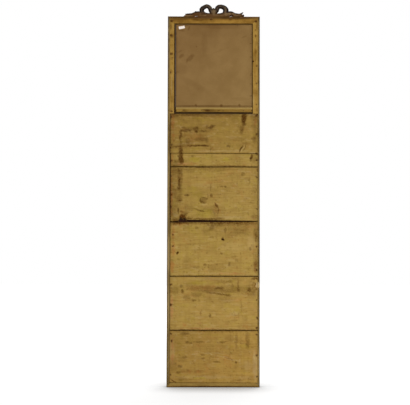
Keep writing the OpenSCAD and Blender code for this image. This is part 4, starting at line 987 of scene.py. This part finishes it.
# Ribbons: how far the back lies in, and the path above the middle of the top: across, up, width, depth in mm
RIBBONS = [
    (0.0006, [(9, 20, 22, 26), (16.5, 35, 21, 24), (23, 49, 20.5, 22), (35.5, 54.5, 20, 21),
              (48.5, 49, 20.5, 20), (59, 40, 24, 19), (60, 28, 23, 19), (49.5, 15.5, 20.5, 20),
              (32, 10.5, 20.5, 22), (12, 10, 20, 25)]),
    (0.0010, [(-4.5, 20, 20, 26), (-14, 35, 24, 24), (-20.5, 49.5, 21.5, 22), (-36, 53, 21, 21),
              (-49, 48.5, 23, 20), (-58, 40, 27.5, 19), (-59.5, 28, 29.5, 19), (-48.5, 14.5, 21, 20),
              (-28, 9.5, 19.5, 22), (-8, 9, 19.5, 25)]),
    (0.0024, [(59, 16, 22, 19), (73, 16, 24, 20), (87, 18.5, 21.5, 22), (99, 14.5, 18.5, 19),
              (112, 11, 16, 17), (128, 10.5, 14.5, 16), (143, 9.5, 12, 14)]),
    (0.0022, [(-60.5, 17.5, 21, 19), (-74.5, 17.5, 23.5, 20), (-89, 19.2, 20.5, 22), (-102, 13.6, 17, 19),
              (-116, 10.5, 17, 17), (-130, 9.5, 14.5, 15)]),
    (0.0030, [(-128, 11.5, 11, 15), (-137, 15.5, 9.5, 14), (-147, 23, 4, 12)]),
    (0.0020, [(-130, 7.5, 12, 15), (-143, 6.5, 11, 14), (-152, 8, 9, 12)]),
    (0.0030, [(120, 3, 8, 12), (140, 2.5, 7, 10), (150, 0.5, 5, 9), (159, -1.5, 3, 8)]),
    (0.0008, [(14, 38, 10, 19), (14.4, 49.5, 10, 19)]),
    (0.0012, [(74, 21.2, 15, 18), (94.5, 21.2, 15, 18)]),
]
LUGS = [(-0.153, -0.131), (-0.096, -0.076), (0.0015, 0.1045)]
SLITS = [(0.080, 0.095), (-0.092, -0.079)]
BASE_SPANS = [(-0.137, -0.092), (-0.079, 0.080), (0.095, 0.148)]
BASE_FRONT = 0.002
CORE_H = 0.012
KNOT_X = 0.002
# Pleated balls of the knot: how far in from the back, how far up, size, number of pleats and their depth
KNOT = [
    (0.008, 0.023, (0.0120, 0.0078, 0.0185), 9, 0.05),
    (0.018, 0.024, (0.0110, 0.0075, 0.0150), 9, 0.08),
]
# Size of the cells in which the bow is melted together
MELT_CELL = 0.00075
# Unevenness of the carved surface: its height, and how many waves there are to a metre
UNEVEN = ((0.00035, 130), (0.00012, 420))


def ribbon(back, path):
    verts, count = swept(path, 6, RIBBON_SHAPE, (0, Y_BACK, FRAME_H), back, True)
    n = len(RIBBON_SHAPE)
    ends = [tuple(range(n - 1, -1, -1)), tuple((count - 1) * n + k for k in range(n))]
    return verts, skin(count, n, closed=True) + ends


def carved_bow(material):
    """The crest as one carved piece: ribbons, pleated knot, base and lugs melted together."""
    top = FRAME_H
    parts = [ribbon(*r) for r in RIBBONS]
    for inwards, up, size, pleats, depth in KNOT:
        parts.append(ball((KNOT_X, Y_BACK - inwards, top + up), size, 24, 48, pleats, depth))
    parts.append(ball((KNOT_X, Y_BACK - 0.0065, top + 0.0385), (0.0065, 0.0065, 0.0065), 12, 24))
    for a, b in BASE_SPANS:
        parts.append(block((a, BASE_FRONT, top), (b, Y_BACK - 0.0015, top + 0.007)))
    parts.append(block((-0.058, -0.004, top), (0.059, Y_BACK - 0.001, top + CORE_H)))
    for a, b in SLITS:
        # Over a slit the base goes on, higher up at the front than at the back
        for front, rise in ((BASE_FRONT, 0.0085), (0.012, 0.0024)):
            parts.append(block((a - 0.001, front, top + rise), (b + 0.001, Y_BACK - 0.003, top + CORE_H)))
    for a, b in LUGS:
        parts.append(block((a, 0.0160, top - 0.0095), (b, Y_BACK, top + 0.0004)))
    o = new_object("carved_bow", *joined(parts), material)
    melt = o.modifiers.new("melt", "REMESH")
    melt.mode = "VOXEL"
    melt.voxel_size = MELT_CELL
    melt.use_smooth_shade = True
    soft = o.modifiers.new("soft", "SMOOTH")
    soft.factor = 0.5
    soft.iterations = 3
    mesh = bpy.data.meshes.new_from_object(o.evaluated_get(bpy.context.evaluated_depsgraph_get()))
    o.modifiers.clear()
    mesh.name = "carved_bow"
    co = np.empty(len(mesh.vertices) * 3)
    mesh.vertices.foreach_get("co", co)
    co = co.reshape(-1, 3)
    for k in range(len(co)):
        co[k] += sum(height * shaken(co[k], waves) for height, waves in UNEVEN)
    in_lug = np.zeros(len(co), bool)
    for a, b in LUGS:
        in_lug |= (co[:, 0] > a - 0.001) & (co[:, 0] < b + 0.001) & (co[:, 1] > 0.0155)
    co[:, 2] = np.where(in_lug, co[:, 2], np.maximum(co[:, 2], top + HAIR))
    co[:, 2] = np.minimum(co[:, 2], cad_box[1][2] - HAIR)
    co[:, 1] = np.clip(co[:, 1], Y_FACE + 2 * HAIR, Y_BACK - HAIR)
    mesh.vertices.foreach_set("co", co.ravel())
    mesh.update()
    age = Age(co[:, 0], co[:, 2], 31, 0.25)
    for table, field in ((CREST_DARK, "dark"), (CREST_PALE, "pale"), (CREST_RED, "red")):
        age.spots(table, field, 0.25)
    age.write(mesh)
    o.data = mesh
    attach(o, "root")
    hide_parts("crest")


# ---------------------------------------------------------------- gilded ornament

# From pearl to pearl, and half the width of the seat below them, in radii of a pearl
PEARL_STEP, PEARL_SEAT = 2.25, 0.55


def pearls(node, material):
    """A string of turned pearls on a narrow seat, along the longer side of its solid."""
    lo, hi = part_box(node)
    along, other = (2, 0) if hi.z - lo.z > hi.x - lo.x else (0, 2)
    radius = (hi[other] - lo[other]) / 2
    middle = (hi[other] + lo[other]) / 2
    first, last = lo[along] + radius, hi[along] - radius
    count = round((last - first) / (radius * PEARL_STEP))
    rings, turns = 4, 12
    parts = []
    for k in range(count + 1):
        if along == 0 and k in (0, count):
            continue
        at = [0, hi.y, 0]
        at[along] = first + (last - first) * k / count
        at[other] = middle
        verts = []
        for i in range(rings + 1):
            lat = math.pi / 2 * i / rings
            r, y = radius * 0.97 * math.sin(lat), at[1] - radius * math.cos(lat)
            for j in range(turns):
                lon = 2 * math.pi * j / turns
                verts.append((at[0] + r * math.cos(lon), y, at[2] + r * math.sin(lon)))
        parts.append((verts, skin(rings + 1, turns, closed=True)))
    a, b = [lo.x, hi.y - 0.0008, lo.z], [hi.x, hi.y, hi.z]
    a[other], b[other] = middle - radius * PEARL_SEAT, middle + radius * PEARL_SEAT
    parts.append(block(a, b))
    o = new_object(node.replace("bead", "pearls"), *joined(parts), material)
    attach(o, "root")
    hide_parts(node)


def leaf(length, width, height, at, turn, bend):
    """A laurel leaf with a ridge and raised tip; the panel's face is the plane of depth at[1]."""
    verts = []
    n, m = 9, 5
    c, s = math.cos(turn), math.sin(turn)
    for i in range(n):
        t = i / (n - 1)
        half = width / 2 * math.sin(math.pi * min(1, t * 0.93 + 0.07) ** 0.85) + 0.0002
        for j in range(m):
            a = (j - (m - 1) / 2) / ((m - 1) / 2)
            lift = height * (0.35 + 0.65 * math.sin(math.pi * t * 0.8 + 0.25))
            lift *= 1 - 0.45 * abs(a) ** 1.5 if j != 2 else 0.86
            if j in (0, m - 1):
                lift = 0.0
            x = t * length
            z = a * half + bend * width * 0.3 * math.sin(math.pi * t)
            verts.append((at[0] + c * x - s * z, at[1] - lift, at[2] + s * x + c * z))
    return verts, skin(n, m)


WREATH_R = 0.098
# Leaves of each place on the ring: step off the ring, tilt in degrees, length, width, height
LEAVES = [
    (0.002, 52, (0.030, 0.012, 0.0055)),
    (-0.002, 128, (0.026, 0.011, 0.0045)),
    (0, 90, (0.028, 0.010, 0.0058)),
]
# Paths of the tail and the loop of the tie, and the low section of both
TIE = [
    [(4, -2, 7, 4), (14, -16, 11, 3.6), (20, -28, 12, 4.2), (30, -42, 12, 3.4)],
    [(3, 2, 6, 4.5), (14, 9, 9, 5), (25, 6, 10, 5), (25, -4, 9, 4.6), (12, -4, 7, 4.2), (3, -1, 5, 4)],
]
TIE_SHAPE = [(-1, 0), (-0.92, 0.9), (-0.6, 0.7), (0, 0.62), (0.6, 0.7), (0.92, 0.9), (1, 0)]


def wreath(material):
    """Two laurel branches with berries, tied at the foot with a ribbon."""
    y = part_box("painted_panel")[0].y
    cz = sum(FIELD_Z) / 2

    def on_ring(radius, angle, lift=0.0):
        return radius * math.cos(angle), y - lift, cz + radius * math.sin(angle)

    turns, sides = 120, 8
    stem = []
    for i in range(turns):
        for j in range(sides):
            b = math.pi * j / (sides - 1)
            r, lift = WREATH_R + 0.003 * math.cos(b), 0.0038 * math.sin(b)
            stem.append(on_ring(r, 2 * math.pi * i / turns, lift))
    parts = [(stem, skin(turns, sides, ring=True))]
    for side in (-1, 1):
        for i in range(13):
            turn = math.radians(-90 + side * (16 + i * 12.4))
            for off, tilt, size in LEAVES:
                at = on_ring(WREATH_R + off, turn)
                parts.append(leaf(*size, at, turn + math.radians(side * tilt), side))
            if i % 2:
                for off in (-0.011, 0.010):
                    berry = on_ring(WREATH_R + off, turn + math.radians(side * 6), 0.0015)
                    parts.append(ball(berry, (0.0026, 0.0026, 0.0026), 8, 12))
    foot = (0, y, cz - WREATH_R)
    parts.append(ball((0, y - 0.001, foot[2]), (0.0085, 0.005, 0.0078), 16, 32, 7, 0.07))
    for side in (-1, 1):
        for path in TIE:
            verts, count = swept([(side * a, *rest) for a, *rest in path], 5, TIE_SHAPE, foot)
            parts.append((verts, skin(count, len(TIE_SHAPE))))
    o = new_object("laurel_wreath_carved", *joined(parts), material)
    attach(o, "root")
    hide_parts("laurel_wreath")


def rosettes(material):
    lo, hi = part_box("frieze_rosettes")
    radius = (hi.z - lo.z) / 2
    y, cz = hi.y, (hi.z + lo.z) / 2
    rings, turns = 18, 96
    parts = []
    for cx in (lo.x + radius, hi.x - radius):
        verts = []
        for i in range(rings + 1):
            t = i / rings
            for j in range(turns):
                a = 2 * math.pi * j / turns
                petal = abs(math.cos(4 * a))
                r = radius * t * (1 - 0.10 * (1 - petal) * t)
                lift = 0.0022 + 0.0012 * petal * math.sin(math.pi * t) + 0.0024 * max(0, 1 - (t / 0.3) ** 2)
                lift *= 1 if t < 0.97 else 0.0
                verts.append((cx + r * math.cos(a), y - lift, cz + r * math.sin(a)))
        parts.append((verts, skin(rings + 1, turns, closed=True)))
    o = new_object("carved_rosettes", *joined(parts), material)
    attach(o, "root")
    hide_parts("frieze_rosettes")


def label(material):
    """The blank paper label, with one corner that has come away a little."""
    x, z = seen(181.7, 27.45, Y_PANEL)
    turn = math.radians(11)
    c, s = math.cos(turn), math.sin(turn)
    thick = 0.00012
    n, m = 20, 10
    verts = []
    for layer in (1, 0):
        for i in range(n + 1):
            for j in range(m + 1):
                a, b = (i / n - 0.5) * LABEL_W, (j / m - 0.5) * LABEL_H
                curl = max(0, a / LABEL_W + b / LABEL_H - 0.45) ** 2 * 0.0035
                curl += 0.00012 * math.sin(a * 420) * math.cos(b * 300) + 0.00012
                verts.append((x + c * a + s * b, Y_PANEL + curl + thick * layer, z - s * a + c * b))
    size = (n + 1) * (m + 1)
    faces = skin(n + 1, m + 1, flip=True)
    faces += [tuple(size + k for k in face) for face in skin(n + 1, m + 1)]
    rim = border(n + 1, m + 1)
    for a, b in zip(rim, rim[1:] + rim[:1]):
        faces.append((b, a, size + a, size + b))
    o = new_object("blank_label", verts, faces, material)
    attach(o, "root")
    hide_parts("paper_label")


def dress(node, material, bevel=0.0):
    """Gives a solid of the frame its material and, where asked, soft arrises."""
    o = NODES[node]
    o.data.materials.clear()
    o.data.materials.append(material)
    if bevel:
        o.modifiers.new("weld", "WELD").merge_threshold = 0.00001
        b = o.modifiers.new("arris", "BEVEL")
        b.width = bevel
        b.segments = 2
        b.limit_method = "ANGLE"
        b.angle_limit = math.radians(40)


# ---------------------------------------------------------------- the part

# Rust round the nails of the boards, as marks of the photograph
board_rust = [(*to_px(x, z), 1.1 * rng.uniform(0.8, 1.25), 1.1 * rng.uniform(0.8, 1.4), 0.75)
              for x, z in heads("backboard_nails")]
# Tones of the boards at two far corners: x, z, colour
BOARD_TONES = {
    "1": ((0.20, 1.36, (0.84, 0.80, 0.74)), (-0.21, 1.16, (0.99, 0.99, 0.93))),
    "1_strip": ((0.20, 1.15, (1.10, 1.14, 1.10)), (-0.21, 1.09, (1.13, 1.18, 1.16))),
    "2": ((0.20, 1.09, (1.01, 1.01, 0.955)), (-0.21, 0.83, (1.16, 1.215, 1.255))),
    "3": ((0.20, 0.82, (1.13, 1.165, 1.13)), (-0.21, 0.55, (1.24, 1.28, 1.295))),
    "4": ((0.20, 0.55, (1.15, 1.175, 1.15)), (-0.21, 0.28, (1.32, 1.34, 1.36))),
    "5": ((0.20, 0.28, (1.04, 1.00, 0.945)), (-0.21, 0.02, (1.37, 1.315, 1.235))),
}
BOARD_DARK, BOARD_LIGHT = (0.235, 0.140, 0.032), (0.335, 0.215, 0.055)


def board_wood(number, seed):
    return wood("board_%s_wood" % number, BOARD_DARK, BOARD_LIGHT, "x", seed, 0.60, 95, BOARD_TONES[number],
                mottle=0.06, aged=True)


plank("board_1", "backboard_1", straight(1.1580, 1.1580), straight(1.3555, 1.3555), board_wood("1", 1), 1)
plank("board_1_strip", "backboard_1_lower_strip", straight(1.0920, 1.0920), straight(1.1562, 1.1578),
      board_wood("1_strip", 1.4), 6)
plank("board_2", "backboard_2", broken, straight(1.0890, 1.0890), board_wood("2", 2), 2)
splinters(wood("splinter_wood", (0.10, 0.050, 0.010), (0.20, 0.115, 0.028), "z", 9, 1.0, 95))
plank("board_3", "backboard_3", straight(0.5480, 0.5480), straight(0.8179, 0.8134), board_wood("3", 3), 3)
plank("board_4", "backboard_4", straight(0.2805, 0.2805), straight(0.5450, 0.5450), board_wood("4", 4), 4)
plank("board_5", "backboard_5", straight(0.0204, 0.0216), straight(0.2775, 0.2775), board_wood("5", 5), 5)

SOFT = 0.0008
for side, seed in (("left", 11), ("right", 12)):
    stile = wood("stile_%s_wood" % side, (0.130, 0.084, 0.028), (0.225, 0.152, 0.050), "z", seed, 0.9, 140,
                 dark_marks=px_marks(on_side(RIM_DARK, side)), pale_marks=px_marks(RIM_PALE), mottle=0.12,
                 edge=(0.75, 0.004, 0.0095), recess_shade=0.85)
    dress("stile_" + side, stile, SOFT)
dress("top_rail", wood("top_rail_wood", (0.135, 0.076, 0.019), (0.235, 0.138, 0.036), "x", 13, 0.9, 140,
                       dark_marks=px_marks(near(RIM_DARK, 0, 30)), mottle=0.12, edge=(0.55, 0.007, 0.013),
                       recess_shade=0.25), SOFT)
dress("bottom_rail", wood("bottom_rail_wood", BOARD_DARK, BOARD_LIGHT, "x", 14, 0.9, 140,
                          dark_marks=px_marks(near(RIM_DARK, 360, 400)), mottle=0.12,
                          edge=(0.62, 0.0065, 0.0140), recess_shade=0.6), SOFT)
plain = wood("plain_wood", (0.20, 0.125, 0.045), (0.34, 0.225, 0.09), "x", 15, 1.0, 130)
# The middle rail shows only deep in the gap under the batten; its wood is made nearly black as painted shade
dress("mid_rail", wood("inner_wood_painted_shade", (0.035, 0.020, 0.008), (0.070, 0.042, 0.017), "x", 16, 1.0, 130))
for node in ("corner_keys", "joint_pegs", "glazing_blocks", "crest_dowels"):
    dress(node, plain)
for side, seed in (("left", 21), ("right", 21.4)):
    strip = wood("edge_strip_%s_wood" % side, (0.215, 0.112, 0.018), (0.345, 0.205, 0.045), "z", seed,
                 1.0, 150, dark_marks=px_marks(on_side(STRIP_DARK, side)), pale_marks=px_marks(STRIP_PALE),
                 mottle=0.11, edge=(0.5, 0.010, 0.0155))
    dress("edge_strip_" + side, strip, SOFT)
strip = wood("top_strip_wood", (0.175, 0.086, 0.013), (0.325, 0.178, 0.034), "x", 22, 1.0, 150,
             dark_marks=px_marks(near(STRIP_DARK, 0, 27)), mottle=0.13, edge=(0.6, 0.010, 0.016))
dress("edge_strip_top", strip, SOFT)
batten = wood("batten_wood", (0.200, 0.108, 0.018), (0.300, 0.180, 0.040), "x", 23, 1.0, 150,
              dark_marks=px_marks(BATTEN_DARK), mottle=0.11, chamfer_highlight=0.38)
dress("cross_batten", batten, SOFT)

dress("backing_board", fibre_board(px_marks(PANEL_DARK, Y_PANEL)), SOFT / 2)
label(paper())
rusty = iron("rusty_iron")
for node in ("panel_brads", "backboard_nails", "edge_strip_nails", "batten_nails"):
    dress(node, rusty)

gilt_up = gilt("gilding_upright", 1)
gilt_across = gilt("gilding_across", 2, length_axis=0)
for node in ("moulding_left", "moulding_right"):
    dress(node, gilt_up)
for node in ("moulding_top", "moulding_bottom", "fluted_frieze"):
    dress(node, gilt_across)
for place in ("upper", "lower"):
    for side in ("left", "right"):
        pearls("%s_bead_%s" % (place, side), gilt_up)
    for side in ("top", "bottom"):
        pearls("%s_bead_%s" % (place, side), gilt_across)
rosettes(gilt_across)
wreath(gilt("gilding_wreath", 3, 0.60, 0))
dress("painted_panel", distemper())
dress("mirror_plate", silvered())
carved_bow(carving())

# ---------------------------------------------------------------- floor, light, camera

FLOOR_HALF, FLOOR_Z = 9, -0.0005
# Glow of the floor near the part, and how much it gains further away
FLOOR_GLOW, FLOOR_GAIN = 0.76, 0.24
CONTACT_REACH, CONTACT_POWER = 0.20, 1.65

f = Surface("studio_floor")
rays = f.node("ShaderNodeLightPath").outputs
glossy = rays["Is Glossy Ray"]
direct = f.math("MAXIMUM", rays["Is Camera Ray"], glossy)
grit = f.noise(220, 3, 0.5)
lighting, looked_at = (f.mix(grit, (a,) * 3, (b,) * 3) for a, b in ((0.86, 0.88), (0.29, 0.31)))
looked_at = f.mix(glossy, looked_at, (0.0, 0.0, 0.0))
f.set(Base_Color=f.mix(direct, lighting, looked_at), Roughness=0.9, Specular_IOR_Level=0.0)
# Soft contact shadow, and a floor that turns into the white background further away
shade = f.node("ShaderNodeAmbientOcclusion", {"Distance": CONTACT_REACH}, samples=12).outputs["AO"]
contact = f.math("POWER", shade, CONTACT_POWER)
far = f.range(f.node("ShaderNodeVectorMath", {0: f.p}, operation="LENGTH").outputs["Value"], 1.0, 3.2)
bright = f.math("MAXIMUM", f.mul_add(far, FLOOR_GAIN, FLOOR_GLOW), glossy)
strength = f.mul(direct, f.mul(bright, contact))
glow = f.node("ShaderNodeEmission", {"Color": (1, 1, 1, 1), "Strength": strength})
f.put(f.out.inputs[0], f.node("ShaderNodeAddShader", {0: f.bsdf.outputs[0], 1: glow.outputs[0]}).outputs[0])
corners = [(x * FLOOR_HALF, y * FLOOR_HALF, FLOOR_Z) for x, y in ((-1, -1), (1, -1), (1, 1), (-1, 1))]
floor = new_object("floor", corners, [(0, 1, 2, 3)], f.mat, False)

SKY_LIGHT, SKY_SHOWN = 0.36, 1.0
world = bpy.data.worlds.new("studio")
bpy.context.scene.world = world
world.use_nodes = True
w = Nodes(world.node_tree)
rays = w.node("ShaderNodeLightPath").outputs
shown = w.math("MAXIMUM", rays["Is Camera Ray"], rays["Is Glossy Ray"])
shown = w.math("MAXIMUM", shown, rays["Is Transmission Ray"])
light, white = (w.node("ShaderNodeBackground", {"Color": (1, 1, 1, 1), "Strength": s}).outputs[0]
                for s in (SKY_LIGHT, SKY_SHOWN))
choose = w.node("ShaderNodeMixShader", {0: shown, 1: light, 2: white})
w.node("ShaderNodeOutputWorld", {0: choose.outputs[0]})


def area(name, at, size, power, target=(0, 0, 0.95)):
    data = bpy.data.lights.new(name, "AREA")
    data.shape = "RECTANGLE"
    data.size, data.size_y = size
    data.energy = power
    o = linked(name, data)
    o.location = at
    o.rotation_euler = (Vector(target) - Vector(at)).to_track_quat("-Z", "Y").to_euler()


area("key_back", at=(-0.9, 3.8, 1.9), size=(2.6, 2.0), power=105)
area("fill_front", at=(-0.6, -3.2, 4.3), size=(4.6, 2.6), power=175)

camera = bpy.data.cameras.new("photo_camera")
camera.sensor_fit = "HORIZONTAL"
camera.sensor_width = 36
camera.lens = FOCAL_PX * camera.sensor_width / VIEW_W
camera.clip_end = 50
eye = linked("photo_camera", camera)
eye.matrix_world = Matrix.Translation(CAM_AT) @ Matrix((RIGHT, UP, -FORWARD)).transposed().to_4x4()
bpy.context.scene.camera = eye
bpy.context.scene.view_settings.view_transform = "Standard"
